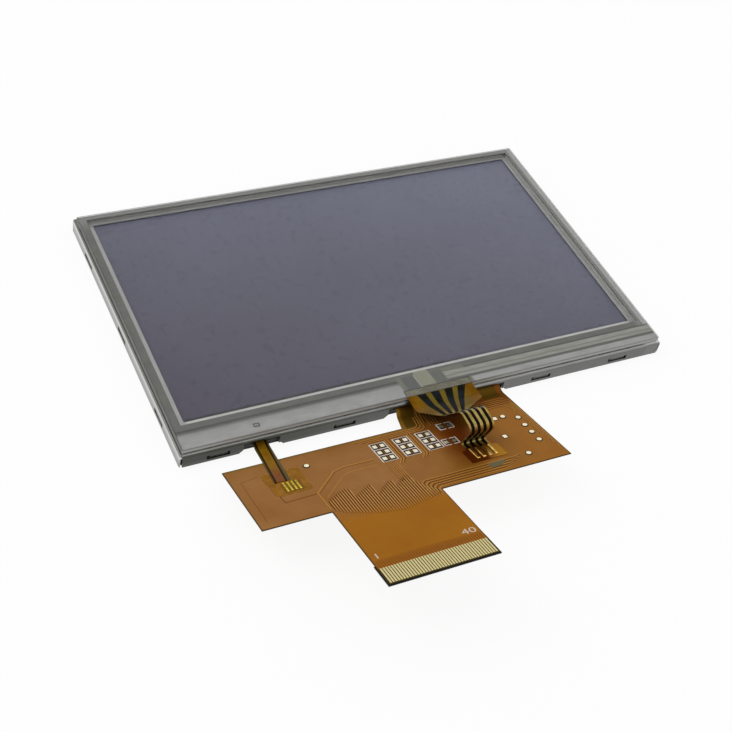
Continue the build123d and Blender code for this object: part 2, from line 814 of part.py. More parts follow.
# Touch tail: side view of the arch as a chain of straight runs joined by arcs
arch_points = (
    (fan_bond_back, touch_glass_top),
    (touch_area[2] - arch_flat, touch_glass_top),
    (touch_area[2] - arch_rise_start, touch_glass_top + arch_rise_height),
    (touch_area[2] - arch_top_start, touch_glass_top + arch_top_height),
    (touch_area[2] - arch_top_end, touch_glass_top + arch_top_height - arch_top_drop),
    slope_point(arch_foot),
    slope_point(strip_end_to),
)
arch_bends = (arch_root_bend, arch_rise_bend, arch_top_bend, arch_front_bend, arch_foot_bend)
strip_left = strip_middle - strip_width / 2
strip_right = strip_middle + strip_width / 2
strip_end_y = slope_point(strip_end_from)[0]
neck_y = touch_area[2] - fan_length
tail_reach_y = slope_point(strip_end_to)[0] - fan_corner
with BuildPart() as touch_tail:
    with BuildSketch(Plane.YZ.offset(fan_left)):
        with BuildLine():
            FilletPolyline(*arch_points, radius=arch_bends)
            offset(amount=spacer_thickness, side=Side.RIGHT)
        make_face()
    extrude(amount=fan_right - fan_left)
    with BuildSketch():
        with BuildLine():
            FilletPolyline(
                (fan_left, fan_bond_back),
                (fan_left, touch_area[2] - fan_straight),
                (strip_left, neck_y),
                (strip_left, strip_end_y),
                (strip_middle - strip_end_width / 2, strip_end_y),
                (strip_middle - strip_end_width / 2, tail_reach_y),
                (strip_middle + strip_end_width / 2, tail_reach_y),
                (strip_middle + strip_end_width / 2, strip_end_y),
                (strip_right, strip_end_y),
                (strip_right, neck_y),
                (fan_right, touch_area[2] - fan_straight),
                (fan_right, fan_bond_back),
                radius=fan_corner,
                close=True,
            )
        make_face()
    extrude(amount=touch_glass_top + 2 * arch_top_height, mode=Mode.INTERSECT)
touch_tail.part.label = "touch_tail"
export_step(touch_tail.part, "parts/touch_tail.step")

# Printed lines on the outer side of the touch tail
line_first = strip_middle - line_pitch * (line_count - 1) / 2
line_end_y = slope_point(line_end)[0]
with BuildPart() as touch_lines:
    with BuildSketch(Plane.YZ.offset(fan_left)):
        with BuildLine():
            FilletPolyline(*arch_points, radius=arch_bends)
            offset(amount=spacer_thickness + line_thickness, side=Side.RIGHT)
        make_face()
    extrude(amount=fan_right - fan_left)
    with BuildSketch(Plane.YZ.offset(fan_left)):
        with BuildLine():
            FilletPolyline(*arch_points, radius=arch_bends)
            offset(amount=spacer_thickness, side=Side.RIGHT)
        make_face()
    extrude(amount=fan_right - fan_left, mode=Mode.SUBTRACT)
    with BuildSketch():
        for line_index, (lead_left, lead_right) in enumerate(lead_edges):
            line_x = line_first + line_index * line_pitch
            with BuildLine():
                Polyline(
                    (lead_left, touch_area[2] - slip),
                    (line_x - line_width / 2, neck_y),
                    (line_x - line_width / 2, line_end_y),
                    (line_x + line_width / 2, line_end_y),
                    (line_x + line_width / 2, neck_y),
                    (lead_right, touch_area[2] - slip),
                    close=True,
                )
            make_face()
    extrude(amount=touch_glass_top + 2 * arch_top_height, mode=Mode.INTERSECT)
touch_lines.part.label = "touch_lines"
export_step(touch_lines.part, "parts/touch_lines.step")


# Solder joints of the touch tail, on its flat end
slope_axis = Axis(circuit_plane.origin, circuit_plane.z_dir)
with BuildPart() as touch_joints:
    joint_middle_v = line_end + joint_gap + joint_length / 2
    with BuildSketch(circuit_plane.offset(spacer_thickness)):
        with Locations((strip_middle, -joint_middle_v)):
            with GridLocations(line_pitch, 0, line_count, 1):
                Rectangle(joint_width, joint_length)
    extrude(amount=joint_height)
    for joint in touch_joints.solids():
        chamfer(joint.edges().group_by(slope_axis)[-1], length=joint_chamfer)
touch_joints.part.label = "touch_joints"
export_step(touch_joints.part, "parts/touch_joints.step")

# Solder joints of the backlight tail, on the main circuit in front of its end
with BuildPart() as backlight_joints:
    joint_middle_u = (backlight_left + backlight_right) / 2 - backlight_tail_drift + backlight_joint_shift
    joint_middle_v = backlight_tail_reach + backlight_joint_gap + backlight_joint_length / 2
    with BuildSketch(circuit_plane):
        with Locations((joint_middle_u, -joint_middle_v)):
            with GridLocations(backlight_joint_pitch, 0, backlight_joint_count, 1):
                Rectangle(backlight_joint_width, backlight_joint_length)
    extrude(amount=joint_height)
    for joint in backlight_joints.solids():
        chamfer(joint.edges().group_by(slope_axis)[-1], length=joint_chamfer)
backlight_joints.part.label = "backlight_joints"
export_step(backlight_joints.part, "parts/backlight_joints.step")
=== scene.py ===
import math

import bpy
from mathutils import Matrix, Vector


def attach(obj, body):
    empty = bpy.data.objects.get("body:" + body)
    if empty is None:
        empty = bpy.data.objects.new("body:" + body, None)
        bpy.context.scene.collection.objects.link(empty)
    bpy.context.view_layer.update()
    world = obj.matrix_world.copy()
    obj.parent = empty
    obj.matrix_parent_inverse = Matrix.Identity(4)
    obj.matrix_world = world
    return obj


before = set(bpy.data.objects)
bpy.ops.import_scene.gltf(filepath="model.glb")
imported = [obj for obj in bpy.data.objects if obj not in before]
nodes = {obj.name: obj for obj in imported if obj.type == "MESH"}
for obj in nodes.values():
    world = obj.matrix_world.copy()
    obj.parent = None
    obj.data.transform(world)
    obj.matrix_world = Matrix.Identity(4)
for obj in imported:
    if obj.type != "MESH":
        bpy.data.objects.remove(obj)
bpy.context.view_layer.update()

# Lengths are in millimetres, and Blender's unit is the metre
MM = 0.001


def box(name):
    """Lowest and highest corner of a CAD piece, in millimetres."""
    made = nodes[name]
    corners = [made.matrix_world @ Vector(corner) / MM for corner in made.bound_box]
    low = Vector([min(corner[i] for corner in corners) for i in range(3)])
    high = Vector([max(corner[i] for corner in corners) for i in range(3)])
    return low, high


# Edges and heights of the bezel, the touch panel and the main circuit, read from the frame
bezel_low, bezel_high = box("front_bezel")
touch_low, touch_high = box("touch_film")
circuit_low, circuit_high = box("main_circuit")
contacts_low, contacts_high = box("contact_fingers")
BEZEL_FRONT = bezel_low.y
WALL_FOOT = bezel_low.z
BEZEL_TOP = bezel_high.z
TOUCH_LEFT = touch_low.x
TOUCH_RIGHT = touch_high.x
TOUCH_FRONT = touch_low.y
TOUCH_BACK = touch_high.y
FILM_TOP = touch_high.z
WING_LEFT = circuit_low.x
WING_RIGHT = circuit_high.x

# Plane of the main circuit's upper side: u across, v outwards along the slope, lift off it
SLOPE = math.radians(18.0)
ALONG = Vector((0.0, -math.cos(SLOPE), math.sin(SLOPE)))
UP = Vector((0.0, math.sin(SLOPE), math.cos(SLOPE)))
CIRCUIT_START = Vector((0.0, BEZEL_FRONT, 0.8))

# The contacts stand in the middle of its tail, which is one pitch wider; FAR is past all its edges
CONTACT_COUNT = 40
CONTACT_PITCH = 0.5
CONTACTS_START = 41.15
TAIL_MIDDLE = 0.5 * (contacts_low.x + contacts_high.x)
TAIL_HALF = 0.5 * (CONTACT_COUNT + 1) * CONTACT_PITCH
TAIL_LEFT = TAIL_MIDDLE - TAIL_HALF
TAIL_RIGHT = TAIL_MIDDLE + TAIL_HALF
FAR = 60.0


def on_circuit(u, v, lift=0.0):
    return (CIRCUIT_START + Vector((u, 0.0, 0.0)) + ALONG * v + UP * lift) * MM


def on_film(x, y, lift):
    return Vector((x, y, FILM_TOP + lift)) * MM


# Node helpers
def material(name, alpha=1.0, **values):
    mat = bpy.data.materials.new(name)
    mat.use_nodes = True
    nt = mat.node_tree
    shader = nt.nodes["Principled BSDF"]
    for key, value in values.items():
        shader.inputs[key.replace("_", " ")].default_value = value
    shader.inputs["Alpha"].default_value = alpha
    return mat, nt, shader


def node(nt, kind, **settings):
    made = nt.nodes.new(kind)
    for key, value in settings.items():
        setattr(made, key, value)
    return made


def put(nt, source, target):
    nt.links.new(source, target)


def coords(nt, scale=(1, 1, 1)):
    """Position in the part's frame, in millimetres, scaled."""
    coord = node(nt, "ShaderNodeTexCoord")
    mapping = node(nt, "ShaderNodeMapping")
    mapping.inputs["Scale"].default_value = tuple(s / MM for s in scale)
    put(nt, coord.outputs["Object"], mapping.inputs["Vector"])
    return mapping.outputs["Vector"]


def noise(nt, scale, detail=3.0, rough=0.5):
    """Noise whose grain repeats about scale times a millimetre along each axis."""
    tex = node(nt, "ShaderNodeTexNoise")
    tex.inputs["Scale"].default_value = 1.0
    tex.inputs["Detail"].default_value = detail
    tex.inputs["Roughness"].default_value = rough
    three = scale if isinstance(scale, tuple) else (scale, scale, scale)
    put(nt, coords(nt, three), tex.inputs["Vector"])
    return tex.outputs["Fac"]


# Scale at which the bands of a wave texture stand about one unit apart
ONE_BAND = 0.31


def waves(nt, pitch, axis):
    """Even bands across an axis, a pitch apart."""
    tex = node(nt, "ShaderNodeTexWave", wave_type="BANDS", bands_direction=axis)
    tex.inputs["Scale"].default_value = ONE_BAND / pitch
    put(nt, coords(nt), tex.inputs["Vector"])
    return tex.outputs["Fac"]


def ramp(nt, fac, stops):
    made = node(nt, "ShaderNodeValToRGB")
    elements = made.color_ramp.elements
    elements[0].position = stops[0][0]
    elements[0].color = (*stops[0][1], 1.0)
    elements[1].position = stops[-1][0]
    elements[1].color = (*stops[-1][1], 1.0)
    for position, colour in stops[1:-1]:
        elements.new(position).color = (*colour, 1.0)
    put(nt, fac, made.inputs["Fac"])
    return made.outputs["Color"]


def clouded(nt, cloud, dark, light, margin=0.30):
    """Colour that wanders between two tones with a noise."""
    return ramp(nt, cloud, [(margin, dark), (1.0 - margin, light)])


def spread(nt, value, low, high, start=0.3, end=0.7):
    """Value between start and end, turned into a number between low and high."""
    made = node(nt, "ShaderNodeMapRange")
    made.inputs["From Min"].default_value = start
    made.inputs["From Max"].default_value = end
    made.inputs["To Min"].default_value = low
    made.inputs["To Max"].default_value = high
    put(nt, value, made.inputs["Value"])
    return made.outputs["Result"]


def maths(nt, operation, a, b=None):
    made = node(nt, "ShaderNodeMath", operation=operation)
    for socket, value in zip(made.inputs, (a, b)):
        if isinstance(value, (int, float)):
            socket.default_value = value
        elif value is not None:
            put(nt, value, socket)
    return made.outputs[0]


def times(nt, a, b):
    return maths(nt, "MULTIPLY", a, b)


def plus(nt, a, b):
    return maths(nt, "ADD", a, b)


def larger(nt, a, b):
    return maths(nt, "MAXIMUM", a, b)


def size_of(nt, a):
    return maths(nt, "ABSOLUTE", a)


def above(nt, value, edge, soft=0.05):
    """0 below an edge and 1 above it, with a soft step."""
    return spread(nt, value, 0.0, 1.0, edge - soft, edge + soft)


def below(nt, value, edge, soft=0.05):
    """1 below an edge and 0 above it, with a soft step."""
    return spread(nt, value, 1.0, 0.0, edge - soft, edge + soft)


def band(nt, value, low, high, soft=0.05):
    """1 between low and high, 0 outside, with soft edges."""
    return times(nt, above(nt, value, low, soft), below(nt, value, high, soft))


def patch(nt, a, b, edges, soft=0.05):
    """1 inside the rectangle a0, a1, b0, b1 of two values."""
    return times(nt, band(nt, a, edges[0], edges[1], soft), band(nt, b, edges[2], edges[3], soft))


def mix(nt, fac, a, b, blend="MIX"):
    made = node(nt, "ShaderNodeMix", data_type="RGBA", blend_type=blend)
    for index, value in ((0, fac), (6, a), (7, b)):
        socket = made.inputs[index]
        if isinstance(value, (int, float)):
            socket.default_value = value
        elif isinstance(value, tuple):
            socket.default_value = (*value, 1.0)
        else:
            put(nt, value, socket)
    return made.outputs[2]


def bump(nt, shader, height, strength=0.3, distance=0.02):
    made = node(nt, "ShaderNodeBump")
    made.inputs["Strength"].default_value = strength
    made.inputs["Distance"].default_value = distance * MM
    put(nt, height, made.inputs["Height"])
    put(nt, made.outputs["Normal"], shader.inputs["Normal"])


def place(nt, direction, origin=(0, 0, 0)):
    """Millimetres from the origin along a direction."""
    coord = node(nt, "ShaderNodeTexCoord")
    move = node(nt, "ShaderNodeVectorMath", operation="SUBTRACT")
    put(nt, coord.outputs["Object"], move.inputs[0])
    move.inputs[1].default_value = tuple(component * MM for component in origin)
    dot = node(nt, "ShaderNodeVectorMath", operation="DOT_PRODUCT")
    put(nt, move.outputs[0], dot.inputs[0])
    dot.inputs[1].default_value = tuple(component / MM for component in direction)
    return dot.outputs["Value"]


def facing(nt, direction):
    """How far the surface faces a direction: 1 straight at it, 0 square to it."""
    coord = node(nt, "ShaderNodeTexCoord")
    dot = node(nt, "ShaderNodeVectorMath", operation="DOT_PRODUCT")
    put(nt, coord.outputs["Normal"], dot.inputs[0])
    dot.inputs[1].default_value = tuple(direction)
    return dot.outputs["Value"]


def shades(tone, amount):
    """A darker and a lighter shade of a tone."""
    return tuple(c * (1.0 - amount) for c in tone), tuple(min(1.0, c * (1.0 + amount)) for c in tone)


def gritty(nt, tone, fine, floor):
    """Tone with fine darker specks, which keep at least the share named floor of its light."""
    grit = clouded(nt, fine, (floor, floor, floor), (1.0, 1.0, 1.0))
    return mix(nt, 1.0, tone, grit, "MULTIPLY")


# Materials
def sheet_grain(nt, shader, tone):
    """Rolled sheet: fine grain along the long side and soft clouds over a tone."""
    grain = noise(nt, (0.30, 11.0, 11.0), 4.0, 0.6)
    cloud = noise(nt, 0.16, 3.0, 0.6)
    clouds = clouded(nt, cloud, (0.88, 0.88, 0.88), (1.0, 1.0, 1.0), 0.33)
    tone = mix(nt, 1.0, tone, clouds, "MULTIPLY")
    streaks = clouded(nt, grain, (0.88, 0.88, 0.87), (1.0, 1.0, 1.0))
    tone = mix(nt, 1.0, tone, streaks, "MULTIPLY")
    put(nt, tone, shader.inputs["Base Color"])
    put(nt, spread(nt, grain, 0.30, 0.44), shader.inputs["Roughness"])
    bump(nt, shader, grain, 0.25, 0.006)


def bezel_lip(nt, x, matt):
    """Lip under the glass, painted as lit steel: a painted reflection that is bright over most of it and
    darker at the left, and a flat painted lighter grey where it is matt.
    """
    lip = mix(nt, spread(nt, x, 1.0, 0.0, -50.25, -50.0), (0.500, 0.500, 0.486), (0.206, 0.206, 0.197))
    lip = mix(nt, spread(nt, x, 0.75, 0.0, -49.2, -48.6), lip, (0.330, 0.330, 0.322))
    return mix(nt, matt, lip, (0.440, 0.440, 0.428))


def bezel_rim(nt, x, y, lip):
    """The lip with the rim outside the glass round it, painted with another tone of reflected light on each
    side; on the front rim a painted highlight, brightest next to the glass.
    """
    top = mix(nt, above(nt, y, TOUCH_BACK - 0.05, 0.2), lip, (0.165, 0.165, 0.160))
    top = mix(nt, above(nt, x, TOUCH_RIGHT, 0.2), top, (0.330, 0.330, 0.325))
    # Painted highlight on the front rim, brightest next to the glass and dimmer towards the bend
    front = spread(nt, y, 0.0, 1.0, -33.30, -32.95)
    front = mix(nt, front, (0.400, 0.402, 0.390), (0.950, 0.952, 0.930))
    top = mix(nt, below(nt, y, TOUCH_FRONT, 0.15), top, front)
    return mix(nt, below(nt, x, TOUCH_LEFT, 0.2), top, (0.150, 0.150, 0.142))


def bezel_front_wall(nt, x, z):
    """Front wall in painted shade, deepest at the left, and painted a little lighter at its foot."""
    wall = mix(nt, spread(nt, x, 0.0, 1.0, -34.0, 18.0), (0.078, 0.080, 0.070), (0.172, 0.172, 0.168))
    foot = spread(nt, z, 1.0, 0.0, WALL_FOOT, 1.2)
    return mix(nt, times(nt, foot, 0.30), wall, (0.210, 0.210, 0.200))


def bezel_left_wall(nt, z):
    """Left wall, painted as lit from the left: a painted highlight that grows brighter upwards."""
    height = spread(nt, z, 0.0, 1.0, WALL_FOOT, BEZEL_TOP)
    foot, middle, head = (0.330, 0.330, 0.320), (0.390, 0.390, 0.380), (0.640, 0.640, 0.630)
    return ramp(nt, height, [(0.0, foot), (0.45, middle), (0.85, head)])


# Fields of the bezel, from and to in x, from and to in y: two of its lip, and the window with its edges
RIGHT_LIP = (49.0, 51.9, -34.0, 34.0)
BACK_LIP = (-53.0, 53.0, 30.3, 32.2)
WINDOW = (-49.6, 49.6, -26.1, 30.8)


def bezel_steel(name):
    """Steel with painted light: bright lip under the glass, duller rim outside it, front wall in painted
    shade, and left wall and bend painted brighter.
    """
    mat, nt, shader = material(name, Metallic=1.0)
    x = place(nt, (1, 0, 0))
    y = place(nt, (0, 1, 0))
    z = place(nt, (0, 0, 1))
    up = facing(nt, (0, 0, 1))

    # The lip is matt at the right and the back, where it would only mirror the underside of the border, and
    # is painted a flat lighter grey there in place of lit steel
    matt = larger(nt, patch(nt, x, y, RIGHT_LIP, 0.2), patch(nt, x, y, BACK_LIP, 0.2))
    top = bezel_rim(nt, x, y, bezel_lip(nt, x, matt))

    # Painted shade: the front rim turns dark a little before its bend
    wall = bezel_front_wall(nt, x, z)
    top = mix(nt, below(nt, y, -33.30, 0.06), top, wall)
    wall = mix(nt, above(nt, facing(nt, (-1, 0, 0)), 0.55, 0.20), wall, bezel_left_wall(nt, z))

    # Painted highlight on the bend between wall and top, wider and brighter along the left side
    left_highlight = spread(nt, x, 1.0, 0.0, -52.6, -52.2)
    reach = mix(nt, left_highlight, (0.0, 0.0, 0.0), (0.25, 0.25, 0.25))
    bend = mix(nt, left_highlight, wall, (0.700, 0.700, 0.690))
    tone = mix(nt, above(nt, up, 0.10, 0.06), wall, bend)

    # Cut edge of the window, matt as well, painted a lighter grey in place of the dark display it would
    # mirror
    window = patch(nt, x, y, WINDOW)
    tone = mix(nt, window, tone, (0.400, 0.400, 0.390))
    tone = mix(nt, above(nt, plus(nt, up, reach), 0.88, 0.08), tone, top)
    matt = larger(nt, matt, times(nt, window, below(nt, up, 0.6, 0.2)))
    put(nt, spread(nt, matt, 1.0, 0.15, 0.0, 1.0), shader.inputs["Metallic"])
    sheet_grain(nt, shader, tone)
    return mat


def tray_steel(name):
    """Plain steel back; its walls are painted dark as shade, and painted bright as lit only at the left."""
    mat, nt, shader = material(name, Metallic=1.0)
    level = size_of(nt, facing(nt, (0, 0, 1)))
    # Walls painted dark as shade, and the left flank painted bright as lit
    wall, bend, flat = (0.045, 0.045, 0.042), (0.10, 0.10, 0.10), (0.36, 0.36, 0.35)
    tone = ramp(nt, level, [(0.02, wall), (0.6, bend), (0.98, flat)])
    lit_flank = above(nt, facing(nt, (-1, 0, 0)), 0.7, 0.2)
    sheet_grain(nt, shader, mix(nt, lit_flank, tone, (0.550, 0.550, 0.540)))
    return mat


def grained(name, tone, rough=0.6, amount=0.12, grain=6.0, depth=0.01, specular=0.5, metal=0.0, alpha=1.0):
    """One tone with a fine grain in its colour, its gloss and its surface."""
    mat, nt, shader = material(name, alpha=alpha, Metallic=metal, Specular_IOR_Level=specular)
    fine = noise(nt, grain, 4.0, 0.6)
    put(nt, clouded(nt, fine, *shades(tone, amount)), shader.inputs["Base Color"])
    put(nt, spread(nt, fine, max(0.02, rough - 0.06), rough + 0.06), shader.inputs["Roughness"])
    bump(nt, shader, fine, 0.3, depth)
    return mat


def copper_print(name, tone, rough, amount, specular, metal):
    """Grain of the printed and etched conductors."""
    return grained(name, tone, rough, amount, 3.0, 0.01, specular, metal)


# Share of a clear sheet that shows: on most of its faces, and on the film's upper face
CLEAR_ALPHA = 0.0015
FILM_ALPHA = 0.006


def pane(name, tone, alpha, rough, edge):
    """Clear sheet: only its upper face mirrors a little, and its cut edges are matt and grey, painted lighter
    as lit where they face the front.
    """
    mat, nt, shader = material(name, Specular_IOR_Level=0.1)
    slow = noise(nt, 0.06, 1.0, 0.4)
    up = facing(nt, (0, 0, 1))
    face = above(nt, size_of(nt, up), 0.5, 0.1)
    dark, light = shades(edge, 0.15)
    ground = clouded(nt, noise(nt, (0.6, 0.6, 5.0), 3.0, 0.6), dark, light)
    # Painted light: the cut edges that face the front are painted lighter, as lit
    front = above(nt, facing(nt, (0, -1, 0)), 0.6, 0.2)
    ground = mix(nt, times(nt, front, 0.7), ground, tuple(min(1.0, 1.9 * c) for c in edge))
    dark, light = shades(tone, 0.03)
    put(nt, mix(nt, face, ground, clouded(nt, slow, dark, light, 0.2)), shader.inputs["Base Color"])
    put(nt, face, shader.inputs["Metallic"])
    smooth = spread(nt, slow, rough * 0.9, rough * 1.1, 0.2, 0.8)
    put(nt, larger(nt, smooth, spread(nt, face, 0.6, 0.0, 0.0, 1.0)), shader.inputs["Roughness"])
    clear = maths(nt, "SUBTRACT", 1.0, spread(nt, up, CLEAR_ALPHA, alpha, 0.0, 1.0))
    put(nt, maths(nt, "SUBTRACT", 1.0, times(nt, face, clear)), shader.inputs["Alpha"])
    return mat


def ribbed_film(name, tone, pitch, axis):
    """Milky film with fine ribs across an axis."""
    mat, nt, shader = material(name, Roughness=0.25)
    ribs = waves(nt, pitch, axis)
    put(nt, clouded(nt, ribs, *shades(tone, 0.1), 0.0), shader.inputs["Base Color"])
    bump(nt, shader, ribs, 0.4, 0.01)
    return mat


def display_face(name):
    """Dark polariser over the cell, with a painted reflection that makes it a shade lighter and bluer towards
    the far right.
    """
    mat, nt, shader = material(name, Specular_IOR_Level=0.2)
    x = place(nt, (1, 0, 0), (0.15, 0, 0))
    y = place(nt, (0, 1, 0), (0, 2.35, 0))
    # Painted reflection: lighter and bluer towards the right and the back
    across = spread(nt, x, 0.0, 0.42, -48.7, 48.7)
    along = spread(nt, y, 0.0, 0.58, -28.0, 28.0)
    cloud = spread(nt, noise(nt, 0.03, 2.0, 0.5), -0.10, 0.10, 0.2, 0.8)
    tone = ramp(nt, plus(nt, plus(nt, across, along), cloud),
                [(0.0, (0.095, 0.088, 0.117)), (0.5, (0.125, 0.126, 0.168)), (1.0, (0.171, 0.178, 0.239))])

    # Thin shadow line along the front edge, strongest at the left
    front = spread(nt, y, 1.0, 0.0, -27.45, -27.1)
    front = times(nt, front, spread(nt, x, 1.0, 0.2, -5.0, 20.0))
    tone = mix(nt, front, tone, (0.060, 0.060, 0.062))
    put(nt, tone, shader.inputs["Base Color"])
    put(nt, spread(nt, noise(nt, 0.5, 3.0, 0.5), 0.26, 0.32), shader.inputs["Roughness"])
    return mat


# Dark rims along the main circuit's cut edges: from and to in u, from and to in v
CIRCUIT_RIMS = (
    (-FAR, TAIL_LEFT - 0.05, 23.8, FAR),
    (TAIL_RIGHT - 0.05, FAR, 25.4, FAR),
    (-FAR, WING_LEFT + 0.2, -FAR, FAR),
    (WING_RIGHT - 0.15, FAR, -FAR, FAR),
    (-FAR, TAIL_LEFT + 0.2, 23.85, FAR),
    (TAIL_RIGHT - 0.18, TAIL_RIGHT + 0.1, 25.5, FAR),
    (-FAR, -10.8, -FAR, 5.48),
)

# Pale conductors on the neck, by their place across the slant, and the window at its right
NECK_CONDUCTORS = (-5.35, -4.75, -3.6)
NECK_WINDOW = (8.9, 12.6, -3.0, 2.7)


def circuit_fields(nt, u, v, cloud):
    """Left wing, middle, right wing and tail, and a painted dark red shadow and reflection of the touch tail
    on the film under it.
    """
    left = clouded(nt, cloud, (0.262, 0.106, 0.022), (0.322, 0.150, 0.046))
    middle = clouded(nt, cloud, (0.216, 0.082, 0.008), (0.272, 0.116, 0.018))
    right = clouded(nt, cloud, (0.256, 0.096, 0.007), (0.310, 0.128, 0.018))
    tail = clouded(nt, cloud, (0.305, 0.108, 0.004), (0.345, 0.132, 0.007))
    tone = mix(nt, spread(nt, u, 0.0, 1.0, -20.0, -4.0), left, middle)
    tone = mix(nt, spread(nt, u, 0.0, 1.0, 3.0, 8.5), tone, right)
    tone = mix(nt, spread(nt, v, 0.0, 1.0, 23.0, 28.0), tone, tail)
    # Painted shadow and reflection of the touch tail: dark red round the middle of the field under it
    across = spread(nt, size_of(nt, plus(nt, u, 2.2)), 1.0, 0.0, 1.0, 6.5)
    along = spread(nt, size_of(nt, plus(nt, v, -13.0)), 1.0, 0.0, 3.0, 9.5)
    return mix(nt, times(nt, times(nt, across, along), 0.88), tone, (0.178, 0.034, 0.003))


def circuit_neck(nt, u, v, tone):
    """Neck: golden left edge, slanting dark window and pale conductors, and a window at the right."""
    slant = plus(nt, u, times(nt, v, 0.24))
    neck = below(nt, v, 5.8, 0.4)
    golden = times(nt, neck, below(nt, slant, -5.5, 0.5))
    tone = mix(nt, times(nt, golden, 0.8), tone, (0.200, 0.108, 0.007))
    red = times(nt, neck, above(nt, slant, -3.5, 1.0))
    tone = mix(nt, times(nt, red, 0.75), tone, (0.150, 0.040, 0.004))
    shade = times(nt, neck, band(nt, slant, -8.6, -5.75, 0.2))
    tone = mix(nt, times(nt, shade, 0.80), tone, (0.060, 0.030, 0.002))
    for line in NECK_CONDUCTORS:
        pale = times(nt, neck, band(nt, slant, line - 0.12, line + 0.12))
        tone = mix(nt, pale, tone, (0.340, 0.175, 0.035))
        gap = times(nt, neck, band(nt, slant, line + 0.2, line + 0.42))
        tone = mix(nt, gap, tone, (0.070, 0.022, 0.003))
    return mix(nt, patch(nt, u, v, NECK_WINDOW, 0.08), tone, (0.098, 0.050, 0.004))


def circuit_end(nt, v, tone):
    """Reddish band behind the contacts, and dark film between them."""
    edge = CONTACTS_START + 0.05
    reddish = times(nt, band(nt, v, 39.2, edge, 0.5), 0.45)
    tone = mix(nt, reddish, tone, (0.215, 0.066, 0.008))
    return mix(nt, band(nt, v, edge, FAR, 0.03), tone, (0.050, 0.036, 0.008))


def circuit_edges(nt, u, v, tone):
    """Dark rims on the upper side, and dark cut edges."""
    rims = 0.0
    for edges in CIRCUIT_RIMS:
        rims = larger(nt, rims, patch(nt, u, v, edges, 0.04))
    tone = mix(nt, times(nt, rims, 0.8), tone, (0.055, 0.034, 0.008))
    cut = below(nt, size_of(nt, facing(nt, UP)), 0.7, 0.1)
    return mix(nt, times(nt, cut, above(nt, v, 5.0, 0.1)), tone, (0.020, 0.018, 0.006))


def circuit_amber(name):
    """Amber film over copper: brown field, golden tail, reddish band, dark end and dark cut edges."""
    mat, nt, shader = material(name, Metallic=0.45, Specular_IOR_Level=0.04)
    u = place(nt, (1, 0, 0))
    v = place(nt, ALONG, CIRCUIT_START)
    cloud = noise(nt, 0.12, 3.0, 0.55)
    fine = noise(nt, 4.0, 4.0, 0.6)
    tone = circuit_fields(nt, u, v, cloud)
    tone = circuit_neck(nt, u, v, tone)
    tone = circuit_end(nt, v, tone)
    tone = circuit_edges(nt, u, v, tone)
    put(nt, gritty(nt, tone, fine, 0.93), shader.inputs["Base Color"])
    put(nt, spread(nt, cloud, 0.38, 0.50), shader.inputs["Roughness"])

    # The conductors of the tail show through the film as a faint relief
    relief = times(nt, waves(nt, CONTACT_PITCH, "X"), band(nt, v, 26.0, 41.0, 1.5))
    bump(nt, shader, plus(nt, cloud, times(nt, relief, 0.06)), 0.3, 0.15)
    return mat


def backlight_amber(name):
    """Backlight tail: clear greenish rims, two dark conductors, amber middle that reddens to its end."""
    mat, nt, shader = material(name, Specular_IOR_Level=0.03, Metallic=0.2)
    x = place(nt, (1, 0, 0))
    y = place(nt, (0, -1, 0), (0, BEZEL_FRONT, 0))
    drifted = plus(nt, x, spread(nt, y, 0.0, 1.2, 0.0, 11.6))
    share = spread(nt, drifted, 0.0, 1.0, -38.475, -35.525)
    edge = size_of(nt, plus(nt, share, -0.5))
    cloud = noise(nt, 0.6, 3.0, 0.55)
    amber = clouded(nt, cloud, (0.190, 0.088, 0.003), (0.265, 0.134, 0.008))
    end = clouded(nt, cloud, (0.150, 0.050, 0.014), (0.185, 0.068, 0.020))
    tone = mix(nt, spread(nt, y, 0.0, 1.0, 5.5, 9.5), amber, end)
    tone = mix(nt, above(nt, edge, 0.41, 0.01), tone, (0.088, 0.078, 0.030))
    conductor = times(nt, band(nt, edge, 0.27, 0.40, 0.015), 0.95)
    tone = mix(nt, conductor, tone, (0.012, 0.007, 0.002))
    put(nt, tone, shader.inputs["Base Color"])
    put(nt, spread(nt, cloud, 0.25, 0.4), shader.inputs["Roughness"])
    bump(nt, shader, cloud, 0.2, 0.05)
    return mat


